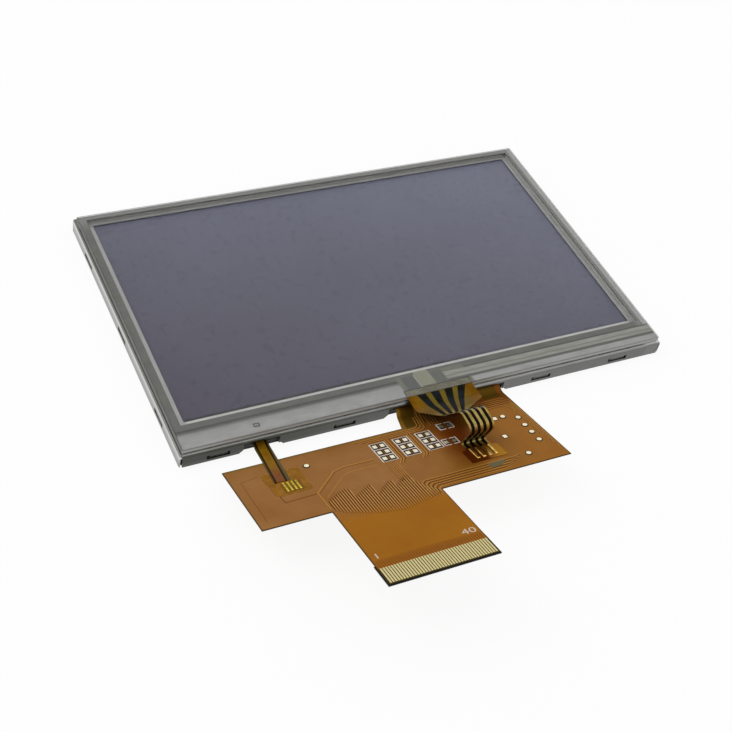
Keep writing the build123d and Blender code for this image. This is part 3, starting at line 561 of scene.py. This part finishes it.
def touch_tail_amber(name):
    """Touch tail: beige under the film, dark amber fan, gold strip with painted glints where the arch crests,
    red and gold soldered end.
    """
    mat, nt, shader = material(name, Specular_IOR_Level=0.02, Metallic=0.5)
    x = place(nt, (1, 0, 0))
    y = place(nt, (0, -1, 0), (0, TOUCH_FRONT, 0))
    cloud = noise(nt, 0.4, 3.0, 0.5)
    fan = clouded(nt, cloud, (0.112, 0.046, 0.001), (0.190, 0.084, 0.002))
    fan = mix(nt, spread(nt, size_of(nt, x), 0.85, 0.0, 3.2, 5.8), fan, (0.130, 0.098, 0.014))
    fan = mix(nt, spread(nt, y, 0.0, 0.55, 2.5, 6.5), fan, (0.085, 0.040, 0.002))
    strip = clouded(nt, cloud, (0.170, 0.115, 0.022), (0.400, 0.300, 0.095))
    # Painted highlight: pale glints on the gold strip where the arch crests
    painted_glint = spread(nt, noise(nt, (1.6, 0.8, 0.8), 2.0, 0.5), 0.0, 0.9, 0.50, 0.60)
    strip = mix(nt, times(nt, band(nt, y, 8.2, 10.6, 0.8), painted_glint), strip, (0.800, 0.770, 0.700))
    end = mix(nt, spread(nt, x, 0.0, 1.0, -1.2, 1.6), (0.110, 0.020, 0.002), (0.330, 0.145, 0.004))
    under = clouded(nt, cloud, (0.130, 0.125, 0.092), (0.185, 0.178, 0.138))
    tone = mix(nt, spread(nt, y, 0.0, 1.0, 5.5, 8.0), fan, strip)
    tone = mix(nt, spread(nt, y, 0.0, 1.0, 15.0, 16.4), tone, end)
    tone = mix(nt, below(nt, y, 0.0), tone, under)
    put(nt, tone, shader.inputs["Base Color"])
    put(nt, spread(nt, cloud, 0.18, 0.30), shader.inputs["Roughness"])
    bump(nt, shader, cloud, 0.25, 0.06)
    return mat


def touch_line_ink(name):
    """Printed lines: near black with a blue-grey bloom on the fan, and a painted silver-grey glint, made
    metallic, where the arch crests.
    """
    mat, nt, shader = material(name, Specular_IOR_Level=0.02)
    y = place(nt, (0, -1, 0), (0, TOUCH_FRONT, 0))
    fine = noise(nt, 2.5, 3.0, 0.5)
    cloud = noise(nt, 0.55, 2.0, 0.5)
    bloom = clouded(nt, cloud, (0.006, 0.006, 0.003), (0.012, 0.015, 0.018), 0.35)
    tone = mix(nt, spread(nt, y, 0.0, 1.0, 5.5, 7.5), bloom, (0.006, 0.004, 0.002))
    # Painted highlight: silver-grey glints where the arch crests, metallic there
    painted_glint = spread(nt, noise(nt, (3.0, 0.9, 0.9), 2.0, 0.5), 0.0, 1.0, 0.50, 0.60)
    crest = times(nt, band(nt, y, 8.6, 11.4, 0.9), painted_glint)
    put(nt, mix(nt, crest, tone, (0.300, 0.310, 0.360)), shader.inputs["Base Color"])
    put(nt, crest, shader.inputs["Metallic"])
    put(nt, spread(nt, fine, 0.20, 0.32), shader.inputs["Roughness"])
    bump(nt, shader, fine, 0.2, 0.01)
    return mat


def border_sides(nt, x, y, cloud):
    """Sides and back of the border, and the thin dark and pale lines outside them."""
    tone = clouded(nt, cloud, (0.104, 0.105, 0.094), (0.132, 0.132, 0.120))
    tone = mix(nt, spread(nt, y, 0.0, 1.0, 28.0, 31.0), tone, (0.198, 0.198, 0.188))
    tone = mix(nt, spread(nt, x, 0.0, 1.0, 49.0, 50.4), tone, (0.205, 0.205, 0.196))
    tone = mix(nt, band(nt, x, 50.72, 50.92, 0.06), tone, (0.110, 0.110, 0.104))
    tone = mix(nt, above(nt, x, 50.97), tone, (0.330, 0.330, 0.320))
    return mix(nt, band(nt, y, 31.85, 32.2, 0.12), tone, (0.205, 0.205, 0.198))


def border_front(nt, y, cloud, tone):
    """Pale strip along the front, painted as the lit bezel steel that shows through the glass there and
    darker towards its back, with a dark line behind it.
    """
    # Painted light: the pale strip stands for lit bezel steel seen through the glass, shaded towards its back
    pale = clouded(nt, cloud, (0.270, 0.271, 0.266), (0.345, 0.345, 0.338))
    pale = mix(nt, spread(nt, y, 0.0, 0.35, -31.2, -29.8), pale, (0.200, 0.201, 0.195))
    line = times(nt, band(nt, y, -28.95, -28.45, 0.12), 0.75)
    tone = mix(nt, line, tone, (0.052, 0.052, 0.050))
    return mix(nt, below(nt, y, -29.45, 0.30), tone, pale)


def border_root(nt, slant, y, tone):
    """Root of the touch tail: dark and beige fields between x -7 and 3."""
    root = times(nt, below(nt, y, -27.75, 0.15), band(nt, slant, -7.1, 7.6, 0.2))
    tone = mix(nt, root, tone, (0.150, 0.152, 0.122))
    field = band(nt, y, -31.6, -27.9, 0.15)
    dark = times(nt, field, band(nt, slant, -6.1, -3.35, 0.12))
    tone = mix(nt, dark, tone, (0.098, 0.102, 0.098))
    bright = times(nt, field, band(nt, slant, -3.30, -3.05, 0.04))
    tone = mix(nt, bright, tone, (0.300, 0.300, 0.260))
    beige = times(nt, band(nt, y, -31.0, -27.0, 0.08), band(nt, slant, -2.95, 0.12, 0.08))
    tone = mix(nt, beige, tone, (0.228, 0.230, 0.172))
    dark = times(nt, field, band(nt, slant, 0.20, 2.75, 0.08))
    return mix(nt, dark, tone, (0.115, 0.118, 0.102))


def border_lead(nt, slant, y, tone):
    """Long beige lead from the root to the right, with a painted shadow strip in front of it and a painted
    shade band along a crease.
    """
    beside = above(nt, slant, 2.8, 0.1)
    # Painted shadow along the front edge of the lead
    dark = times(nt, beside, band(nt, y, -31.38, -30.66, 0.10))
    tone = mix(nt, dark, tone, (0.100, 0.102, 0.090))
    lead = times(nt, beside, band(nt, y, -30.66, -28.80, 0.10))
    silver = noise(nt, (0.3, 2.2, 2.2), 2.0, 0.5)
    silver = clouded(nt, silver, (0.225, 0.228, 0.198), (0.290, 0.292, 0.262), 0.35)
    tone = mix(nt, lead, tone, silver)
    # Painted shade along a crease in the lead
    crease_shade = times(nt, lead, band(nt, y, -30.10, -29.75, 0.12))
    return mix(nt, crease_shade, tone, (0.185, 0.188, 0.160))


def border_ink(name):
    """Border under the film: dark band round the window, pale front strip painted as lit bezel steel, fields
    round the tail root.
    """
    mat, nt, shader = material(name, Specular_IOR_Level=0.1)
    x = place(nt, (1, 0, 0))
    y = place(nt, (0, 1, 0))
    slant = plus(nt, x, times(nt, plus(nt, y, 29.3), 0.12))
    cloud = noise(nt, (0.22, 0.5, 0.5), 3.0, 0.6)
    fine = noise(nt, (1.5, 6.0, 6.0), 3.0, 0.6)
    tone = border_sides(nt, x, y, cloud)
    tone = border_front(nt, y, cloud, tone)
    tone = border_root(nt, slant, y, tone)
    tone = border_lead(nt, slant, y, tone)

    # Pale underside, and a little haze over all
    tone = mix(nt, above(nt, facing(nt, (0, 0, -1)), 0.6, 0.2), tone, (0.400, 0.400, 0.385))
    tone = mix(nt, 0.06, tone, (0.50, 0.50, 0.50))
    put(nt, gritty(nt, tone, fine, 0.94), shader.inputs["Base Color"])
    put(nt, spread(nt, fine, 0.5, 0.65), shader.inputs["Roughness"])
    bump(nt, shader, fine, 0.3, 0.01)
    return mat


COPPER = copper_print("trace_copper", (0.410, 0.190, 0.032), 0.38, 0.10, 0.05, 0.45)
RIBBON = copper_print("ribbon_copper", (0.480, 0.240, 0.062), 0.38, 0.10, 0.05, 0.45)
ETCHED = copper_print("trace_gap", (0.092, 0.030, 0.004), 0.45, 0.12, 0.04, 0.2)
FAINT = copper_print("faint_gap", (0.200, 0.068, 0.008), 0.45, 0.10, 0.04, 0.3)
OPENING = grained("mask_opening", (0.022, 0.015, 0.005), 0.45, 0.15, 3.0, specular=0.1)
OLIVE = grained("bare_olive", (0.105, 0.088, 0.034), 0.5, 0.15, 2.0, specular=0.2)
KAPTON = grained("kapton_patch", (0.380, 0.165, 0.014), 0.25, 0.22, 0.8, 0.02, 0.04, 0.3, 0.42)
PRINT = grained("print_white", (0.68, 0.63, 0.60), 0.6, 0.08, 4.0)
PIN_PRINT = grained("print_pins", (0.53, 0.46, 0.38), 0.6, 0.08, 4.0)
MARK = grained("mark_ink", (0.03, 0.03, 0.035), 0.6)
BORDER = border_ink("border_ink")
looks = {
    "front_bezel": bezel_steel("bezel_steel"),
    "rear_tray": tray_steel("tray_steel"),
    "mould_frame": grained("mould_black", (0.012, 0.012, 0.013), 0.6),
    "reflector_film": grained("reflector_white", (0.75, 0.76, 0.76), 0.35, 0.03),
    "light_guide": grained("guide_acrylic", (0.55, 0.60, 0.62), 0.15, 0.04, 0.5),
    "lower_diffuser": grained("diffuser_milk", (0.72, 0.72, 0.72), 0.6, 0.04),
    "lower_prism_film": ribbed_film("prism_film_x", (0.6, 0.61, 0.62), 0.35, "X"),
    "upper_prism_film": ribbed_film("prism_film_y", (0.6, 0.61, 0.62), 0.35, "Y"),
    "upper_diffuser": grained("diffuser_milk_top", (0.72, 0.72, 0.72), 0.6, 0.04),
    "led_circuit": backlight_amber("backlight_amber"),
    "leds": grained("led_white", (0.75, 0.72, 0.5), 0.4, 0.05, 3.0),
    "panel_tape": grained("panel_tape_black", (0.02, 0.02, 0.02), 0.7),
    "rear_polariser": grained("polariser_rear", (0.05, 0.05, 0.06), 0.3, 0.05, 0.5),
    "tft_glass": grained("cell_glass_rear", (0.06, 0.065, 0.07), 0.12, 0.05, 0.5),
    "colour_filter_glass": grained("cell_glass_front", (0.06, 0.065, 0.07), 0.12, 0.05, 0.5),
    "front_polariser": display_face("display_face"),
    "driver_chip": grained("chip_silicon", (0.03, 0.03, 0.035), 0.2, 0.1, 2.0),
    "main_circuit": circuit_amber("circuit_amber"),
    "tail_stiffener": grained("stiffener_black", (0.006, 0.005, 0.005), 0.5, specular=0.3),
    "contact_fingers": grained("contact_gold", (0.62, 0.53, 0.25), 0.32, 0.10, 5.0, metal=0.9),
    "component_pads": grained("pad_tin", (0.80, 0.74, 0.56), 0.32, 0.14, 4.0, 0.02, metal=0.9),
    "test_pads": grained("test_pad_tin", (0.88, 0.80, 0.60), 0.30, 0.12, 4.0, 0.02, metal=0.9),
    "printed_boxes": PRINT,
    "backlight_joints": grained("joint_solder", (0.50, 0.38, 0.03), 0.22, 0.55, 1.1, 0.05, metal=0.9),
    "touch_joints": grained("touch_solder", (0.56, 0.36, 0.08), 0.20, 0.45, 1.3, 0.05, metal=0.9),
    "touch_tape": grained("touch_tape_grey", (0.420, 0.420, 0.400), 0.75, 0.06, specular=0.2),
    "touch_glass": pane("touch_glass_clear", (0.21, 0.23, 0.22), CLEAR_ALPHA, 0.05, (0.240, 0.242, 0.228)),
    "touch_film": pane("touch_film_clear", (0.25, 0.25, 0.27), FILM_ALPHA, 0.08, (0.230, 0.232, 0.220)),
    "touch_spacer": BORDER,
    "silver_leads": BORDER,
    "touch_tail": touch_tail_amber("touch_tail_amber"),
    "touch_lines": touch_line_ink("touch_line_ink"),
}
for name, mat in looks.items():
    nodes[name].data.materials.clear()
    nodes[name].data.materials.append(mat)


# Thin printed and etched shapes
def piece(name, verts, faces, mat):
    mesh = bpy.data.meshes.new(name)
    mesh.from_pydata(verts, [], faces)
    mesh.update()
    mesh.materials.append(mat)
    made = bpy.data.objects.new(name, mesh)
    bpy.context.scene.collection.objects.link(made)
    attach(made, "root")


def add_plate(verts, faces, outline, low, high, spot=on_circuit):
    """Adds a closed plate between two lifts; the outline runs anticlockwise seen from above."""
    start = len(verts)
    count = len(outline)
    verts.extend(spot(a, b, low) for a, b in outline)
    verts.extend(spot(a, b, high) for a, b in outline)
    faces.append(tuple(start + i for i in reversed(range(count))))
    faces.append(tuple(start + count + i for i in range(count)))
    for i in range(count):
        j = (i + 1) % count
        faces.append((start + i, start + j, start + count + j, start + count + i))


def anticlockwise(outline):
    """The outline in the order that is anticlockwise seen from above, where v runs towards -Y."""
    area = sum(a[0] * b[1] - b[0] * a[1] for a, b in zip(outline, outline[1:] + outline[:1]))
    return outline if area < 0 else outline[::-1]


def add_line(verts, faces, points, widths, low, high):
    """Adds a closed mitred strip along the points; widths are at its start, at its end and between."""
    path = [Vector(p) for p in points]
    count = len(path)
    last = count - 1
    left = []
    right = []
    for i in range(count):
        before = (path[i] - path[i - 1]).normalized() if i else None
        after = (path[i + 1] - path[i]).normalized() if i < last else None
        before = before or after
        after = after or before
        side = Vector((-(before + after).y, (before + after).x)).normalized()
        half = 0.5 * (widths[0] if i == 0 else widths[1] if i == last else widths[-1])
        half /= max(0.35, side.dot(Vector((-after.y, after.x))))
        left.append(tuple(path[i] + side * half))
        right.append(tuple(path[i] - side * half))
    start = len(verts)
    for lift in (low, high):
        for row in (left, right):
            verts.extend(on_circuit(a, b, lift) for a, b in row)
    lower_left, lower_right, upper_left, upper_right = (start + row * count for row in range(4))
    for i in range(last):
        faces.append((upper_left + i, upper_left + i + 1, upper_right + i + 1, upper_right + i))
        faces.append((lower_left + i, lower_right + i, lower_right + i + 1, lower_left + i + 1))
        faces.append((upper_left + i, lower_left + i, lower_left + i + 1, upper_left + i + 1))
        faces.append((upper_right + i, upper_right + i + 1, lower_right + i + 1, lower_right + i))
    for i, flip in ((0, False), (last, True)):
        end = (upper_left + i, upper_right + i, lower_right + i, lower_left + i)
        faces.append(end[::-1] if flip else end)


def lines(name, specs, mat, low=0.004, high=0.014):
    """One piece from lines, each given as its points and then its widths."""
    verts, faces = [], []
    for points, *widths in specs:
        add_line(verts, faces, points, widths, low, high)
    piece(name, verts, faces, mat)


def plates(name, outlines, mat, low=0.003, high=0.012):
    """One piece from flat outlines on the main circuit."""
    verts, faces = [], []
    for outline in outlines:
        add_plate(verts, faces, anticlockwise(outline), low, high)
    piece(name, verts, faces, mat)


def rect(u, v, du, dv):
    corners = ((-1, -1), (1, -1), (1, 1), (-1, 1))
    return [(u + du / 2 * a, v + dv / 2 * b) for a, b in corners]


def disc(u, v, radius, count=24):
    turns = [2 * math.pi * i / count for i in range(count)]
    return [(u + radius * math.cos(t), v + radius * math.sin(t)) for t in turns]


# Gaps between the conductors where the copper field runs into the tail, and behind the contacts
GAP_TOPS = ((-33.3, 21.2), (-31.1, 19.8), (-28.6, 18.7), (-28.3, 21.7), (-24.5, 19.4), (-24.2, 22.6),
            (-20.6, 19.5), (-20.3, 21.6), (-17.2, 19.1), (-16.6, 21.9), (-13.9, 25.4))
GAP_ENDS = ((-33.3, 23.6), (-31.9, 25.0), (-27.1, 27.2), (-22.0, 28.4), (-17.1, 27.2), (-13.9, 26.4))
SHORTEST_GAP = 0.8
FIRST_GAP = TAIL_LEFT + 1.5 * CONTACT_PITCH


def along_table(table, u):
    """Value at u between the pairs of a table."""
    for (u0, v0), (u1, v1) in zip(table, table[1:]):
        if u <= u1:
            return v0 + (v1 - v0) * (u - u0) / (u1 - u0)
    return table[-1][1]


gaps, ribbons, faint = [], [], []
for i in range(CONTACT_COUNT - 1):
    u = FIRST_GAP + CONTACT_PITCH * i
    top = along_table(GAP_TOPS, u)
    end = along_table(GAP_ENDS, u)
    if end - top > SHORTEST_GAP:
        middle = 0.5 * (top + end)
        gaps.append(([(u, top - 0.4), (u, top + 0.4), (u, middle), (u, end + 0.3)], 0.06, 0.06, 0.24))
        beside = u + 0.5 * CONTACT_PITCH
        run = [(beside, top - 0.2), (beside, top + 0.5), (beside, middle), (beside, end)]
        ribbons.append((run, 0.04, 0.05, 0.20))
    faint.append(([(u, 38.9), (u, 40.0), (u, CONTACTS_START)], 0.05, 0.16, 0.11))
for i in range(5):
    u = -18.75 + 0.42 * i
    faint.append(([(u, 14.4), (u, 18.0), (u, 20.6)], 0.10, 0.13, 0.13))
    ribbons.append(([(u + 0.21, 14.6), (u + 0.21, 18.0), (u + 0.21, 20.2)], 0.06, 0.08, 0.09))
lines("etched_gaps", gaps, ETCHED)
lines("comb_ribbons", ribbons, RIBBON)
lines("faint_gaps", faint, FAINT)

# Conductors that turn from the tail into the right wing, and a dark gap after each but the last
bundle, bundle_gaps = [], []
for i in range(5):
    v = 22.1 + 0.68 * i
    u = -16.3 + 0.52 * i
    far = -0.9 * i
    run = [(5.4 + far, v - 0.5), (4.0 + far, v - 0.05), (u + 1.2, v), (u + 0.25, v + 0.9), (u + 0.1, 27.4)]
    bundle.append((run, 0.10, 0.10, 0.17))
    gap = [(5.0 + far, v - 0.16), (3.7 + far, v + 0.32), (u + 1.35, v + 0.34), (u + 0.5, v + 1.15),
           (u + 0.36, 27.3)]
    bundle_gaps.append((gap, 0.10, 0.08, 0.20))
lines("wing_conductors", bundle, COPPER)
lines("wing_gaps", bundle_gaps[:-1], ETCHED, 0.003, 0.010)

# Finer conductors: from the neck to the left
fine_gold, fine_dark = [], []
for i in range(3):
    v = 6.1 + 0.52 * i
    u = 0.5 * i
    run = [(u - 7.0, 2.6), (u - 7.6, v - 0.6), (u - 8.4, v), (1.2 * i - 21.5, v)]
    fine_gold.append((run, 0.2, 0.2))
    run = [(u - 6.72, 2.6), (u - 7.3, v - 0.36), (u - 8.2, v + 0.25), (1.2 * i - 21.2, v + 0.26)]
    fine_dark.append((run, 0.16, 0.12))

# Down the middle of the neck
for i in range(4):
    u = -4.9 + 0.55 * i
    fine_gold.append(([(u, 2.6), (u, 4.2), (u - 0.25, 6.5)], 0.2, 0.2))
    fine_dark.append(([(u + 0.28, 2.6), (u + 0.28, 4.2), (u + 0.03, 6.5)], 0.2, 0.2))

# Two beside each of two blocks of pads
BLOCK_PITCH = 4.75
for block in range(2):
    for i in range(2):
        u = -15.5 + BLOCK_PITCH * block + 0.55 * i
        fine_gold.append(([(u, 7.4), (u, 14.3), (u - 0.9, 15.6)], 0.2, 0.18))
        fine_dark.append(([(u + 0.27, 7.4), (u + 0.27, 14.4), (u - 0.7, 15.8)], 0.14, 0.12))

# From the neck to the right wing and along its edge; the last one is short
for i in range(5):
    v = 3.3 + 0.62 * i
    u = 13.3 - 0.30 * i
    gold_end, dark_end = (22.5 - 1.4 * i, 22.0 - 1.4 * i) if i < 4 else (9.0, 8.6)
    run = [(2.5 + 0.5 * i, v), (u - 1.3, v), (u, v + 1.4), (u, gold_end)]
    fine_gold.append((run, 0.17, 0.15))
    run = [(2.7 + 0.5 * i, v + 0.3), (u - 1.2, v + 0.3), (u - 0.16, v + 1.5), (u - 0.16, dark_end)]
    fine_dark.append((run, 0.11, 0.09))
for i in range(3):
    v = 6.8 + 0.6 * i
    fine_gold.append(([(3.2, v + 1.1), (4.4, v), (6.0, v)], 0.17, 0.15))

# Single ones on the left wing
fine_gold.append(([(-20.4, 12.4), (-26.0, 12.3), (-28.4, 12.9), (-33.75, 17.9), (-33.6, 23.2)], 0.22, 0.2))
fine_gold.append(([(-20.4, 14.3), (-25.6, 14.2), (-27.6, 15.0), (-32.8, 19.9)], 0.16, 0.12))
fine_dark.append(([(-20.4, 12.7), (-25.9, 12.6), (-28.2, 13.2), (-33.4, 18.1)], 0.10, 0.08))
fine_dark.append(([(-40.15, 15.9), (-39.95, 18.25), (-34.0, 18.05)], 0.16, 0.14))
fine_dark.append(([(-44.9, 21.9), (-44.8, 9.6), (-41.4, 9.0)], 0.07, 0.06))
lines("fine_conductors", fine_gold, COPPER, 0.004, 0.013)
lines("fine_gaps", fine_dark, ETCHED, 0.003, 0.010)

# Openings in the film round the pads: three blocks, two pairs, then round, square and backlight pads.
# The round and square ones are given by how far they are from the right wing's edge, and by v.
PAIR_PLACES = ((-2.83, 7.8), (-4.5, 12.9))
ROUND_PLACES = ((4.82, 9.38), (2.28, 10.85), (2.5, 13.63), (2.62, 16.25), (2.77, 19.04), (7.04, 22.19))
SQUARE_PLACES = ((6.64, 9.48), (8.13, 15.63))
BLOCK_OPENING = (1.36, 1.72)
PAIR_OPENING = (1.15, 1.5)
SQUARE_OPENING = (1.15, 1.3)
ROUND_RADIUS = 0.68
ROW_PITCH = 6.2 / 3
openings = []
for block in range(3):
    for column in (-0.75, 0.75):
        u = -17.37 + BLOCK_PITCH * block + column
        for row in (-1, 0, 1):
            openings.append(rect(u, 11.02 + ROW_PITCH * row, *BLOCK_OPENING))
for u, v in PAIR_PLACES:
    for column in (-0.85, 0.85):
        openings.append(rect(u + column, v, *PAIR_OPENING))
for across, v in ROUND_PLACES:
    openings.append(disc(WING_RIGHT - across - 0.05, v + 0.10, ROUND_RADIUS))
openings.append(disc(-32.14, 9.41, ROUND_RADIUS))
for across, v in SQUARE_PLACES:
    openings.append(rect(WING_RIGHT - across, v, *SQUARE_OPENING))
openings.append([(-38.75, 12.75), (-35.0, 12.75), (-35.0, 15.65), (-38.75, 15.65)])
plates("mask_openings", openings, OPENING)

# Bare olive field where no copper lies under the film
OLIVE_FIELD = [(-2.2, 22.3), (1.1, 22.15), (1.6, 22.6), (0.3, 23.6), (-1.9, 23.75)]
plates("olive_patch", [OLIVE_FIELD], OLIVE, 0.016, 0.022)

# Clear amber patch over the backlight joints
JOINT_PATCH = [(-41.1, 9.3), (-40.7, 8.9), (-34.1, 8.9), (-33.7, 9.3), (-33.7, 15.9), (-34.1, 16.3),
               (-40.3, 16.3), (-40.7, 15.9)]
plates("joint_patch", [JOINT_PATCH], KAPTON, 0.004, 0.02)


# Pin numbers at the two ends of the contact row
def number(text, u, v, size, stretch):
    curve = bpy.data.curves.new("pin_" + text, "FONT")
    curve.body = text
    curve.size = size * MM
    curve.align_x = "CENTER"
    curve.align_y = "CENTER"
    curve.extrude = 0.008 * MM
    made = bpy.data.objects.new("pin_" + text, curve)
    across = Vector((stretch, 0.0, 0.0))
    upright = -ALONG
    here = on_circuit(u, v, 0.012)
    rows = [[across[i], upright[i], UP[i], here[i]] for i in range(3)]
    made.matrix_world = Matrix(rows + [[0.0, 0.0, 0.0, 1.0]])
    bpy.context.scene.collection.objects.link(made)
    curve.materials.append(PIN_PRINT)
    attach(made, "root")


number("1", -32.4, 38.1, 1.9, 1.3)
number("40", -15.3, 38.35, 2.0, 1.4)

# Small open square printed on the film: left, right, front and back edge of each of its sides
REGISTER_SIDES = (
    (-37.85, -37.7, -31.45, -30.65),
    (-36.8, -36.65, -31.45, -30.65),
    (-37.7, -36.8, -31.45, -31.3),
    (-37.7, -36.8, -30.8, -30.65),
)
verts, faces = [], []
for x0, x1, y0, y1 in REGISTER_SIDES:
    add_plate(verts, faces, [(x0, y0), (x1, y0), (x1, y1), (x0, y1)], -0.001, 0.004, on_film)
piece("register_mark", verts, faces, MARK)

# Camera; its lens and sensor are in millimetres, and its nearest distance in metres
EYE = Vector((-112.62, -173.71, 186.32)) * MM
TARGET = Vector((-9.10, -19.83, 0.0)) * MM
ROLL = math.radians(12.84)
SENSOR = 36.0
LENS = 65.34
NEAREST = 0.01
cam_data = bpy.data.cameras.new("camera")
cam_data.sensor_width = SENSOR
cam_data.lens = LENS
cam_data.clip_start = NEAREST
camera = bpy.data.objects.new("camera", cam_data)
turn = (TARGET - EYE).to_track_quat("-Z", "Y").to_matrix().to_4x4() @ Matrix.Rotation(ROLL, 4, "Z")
camera.matrix_world = Matrix.Translation(EYE) @ turn
bpy.context.scene.collection.objects.link(camera)
bpy.context.scene.camera = camera

# Floor, world and lamps; half the floor's side, the lamps' sizes and their places are in metres
FLOOR_REACH = 6.0
FLOOR_TONE = (0.90, 0.90, 0.90, 1.0)
FLOOR_GLOW = 0.90
WHITE = (1.0, 1.0, 1.0, 1.0)
STUDIO_STRENGTH = 0.66
LAMP_AIM = Vector((0.0, -0.01, 0.0))


def seen_plainly(nt):
    """1 for rays from the camera, for reflections and for what shows through clear material."""
    path = node(nt, "ShaderNodeLightPath")
    seen = larger(nt, path.outputs["Is Camera Ray"], path.outputs["Is Glossy Ray"])
    return larger(nt, seen, path.outputs["Is Transmission Ray"])


def blended(nt, fac, first, second, out):
    """Mixes two shaders into an output."""
    blend = node(nt, "ShaderNodeMixShader")
    put(nt, fac, blend.inputs["Fac"])
    put(nt, first, blend.inputs[1])
    put(nt, second, blend.inputs[2])
    put(nt, blend.outputs["Shader"], out.inputs["Surface"])


corners = [(a, b, 0.0) for a, b in rect(0.0, 0.0, 2 * FLOOR_REACH, 2 * FLOOR_REACH)]
floor_mesh = bpy.data.meshes.new("floor")
floor_mesh.from_pydata(corners, [], [(0, 1, 2, 3)])
floor = bpy.data.objects.new("floor", floor_mesh)
bpy.context.scene.collection.objects.link(floor)
floor_mat = bpy.data.materials.new("floor_white")
floor_mat.use_nodes = True
nt = floor_mat.node_tree
nt.nodes.clear()
diffuse = node(nt, "ShaderNodeBsdfDiffuse")
diffuse.inputs["Color"].default_value = FLOOR_TONE
glow = node(nt, "ShaderNodeEmission")
glow.inputs["Color"].default_value = WHITE
share = times(nt, seen_plainly(nt), FLOOR_GLOW)
blended(nt, share, diffuse.outputs["BSDF"], glow.outputs["Emission"], node(nt, "ShaderNodeOutputMaterial"))
floor_mesh.materials.append(floor_mat)

world = bpy.data.worlds.new("studio")
bpy.context.scene.world = world
world.use_nodes = True
nt = world.node_tree
nt.nodes.clear()
soft = node(nt, "ShaderNodeBackground")
soft.inputs["Color"].default_value = WHITE
soft.inputs["Strength"].default_value = STUDIO_STRENGTH
plain = node(nt, "ShaderNodeBackground")
plain.inputs["Color"].default_value = WHITE
plain.inputs["Strength"].default_value = 1.0
share = seen_plainly(nt)
blended(nt, share, soft.outputs["Background"], plain.outputs["Background"], node(nt, "ShaderNodeOutputWorld"))


def lamp(name, spot, size, power):
    data = bpy.data.lights.new(name, "AREA")
    data.shape = "SQUARE"
    data.size = size
    data.energy = power
    made = bpy.data.objects.new(name, data)
    made.location = spot
    made.rotation_euler = (LAMP_AIM - Vector(spot)).to_track_quat("-Z", "Y").to_euler()
    bpy.context.scene.collection.objects.link(made)


lamp("key_softbox", (-0.55, 0.35, 0.75), 0.6, 3.4)
lamp("fill_softbox", (0.6, -0.5, 0.7), 0.7, 1.6)

bpy.context.scene.view_settings.view_transform = "Standard"
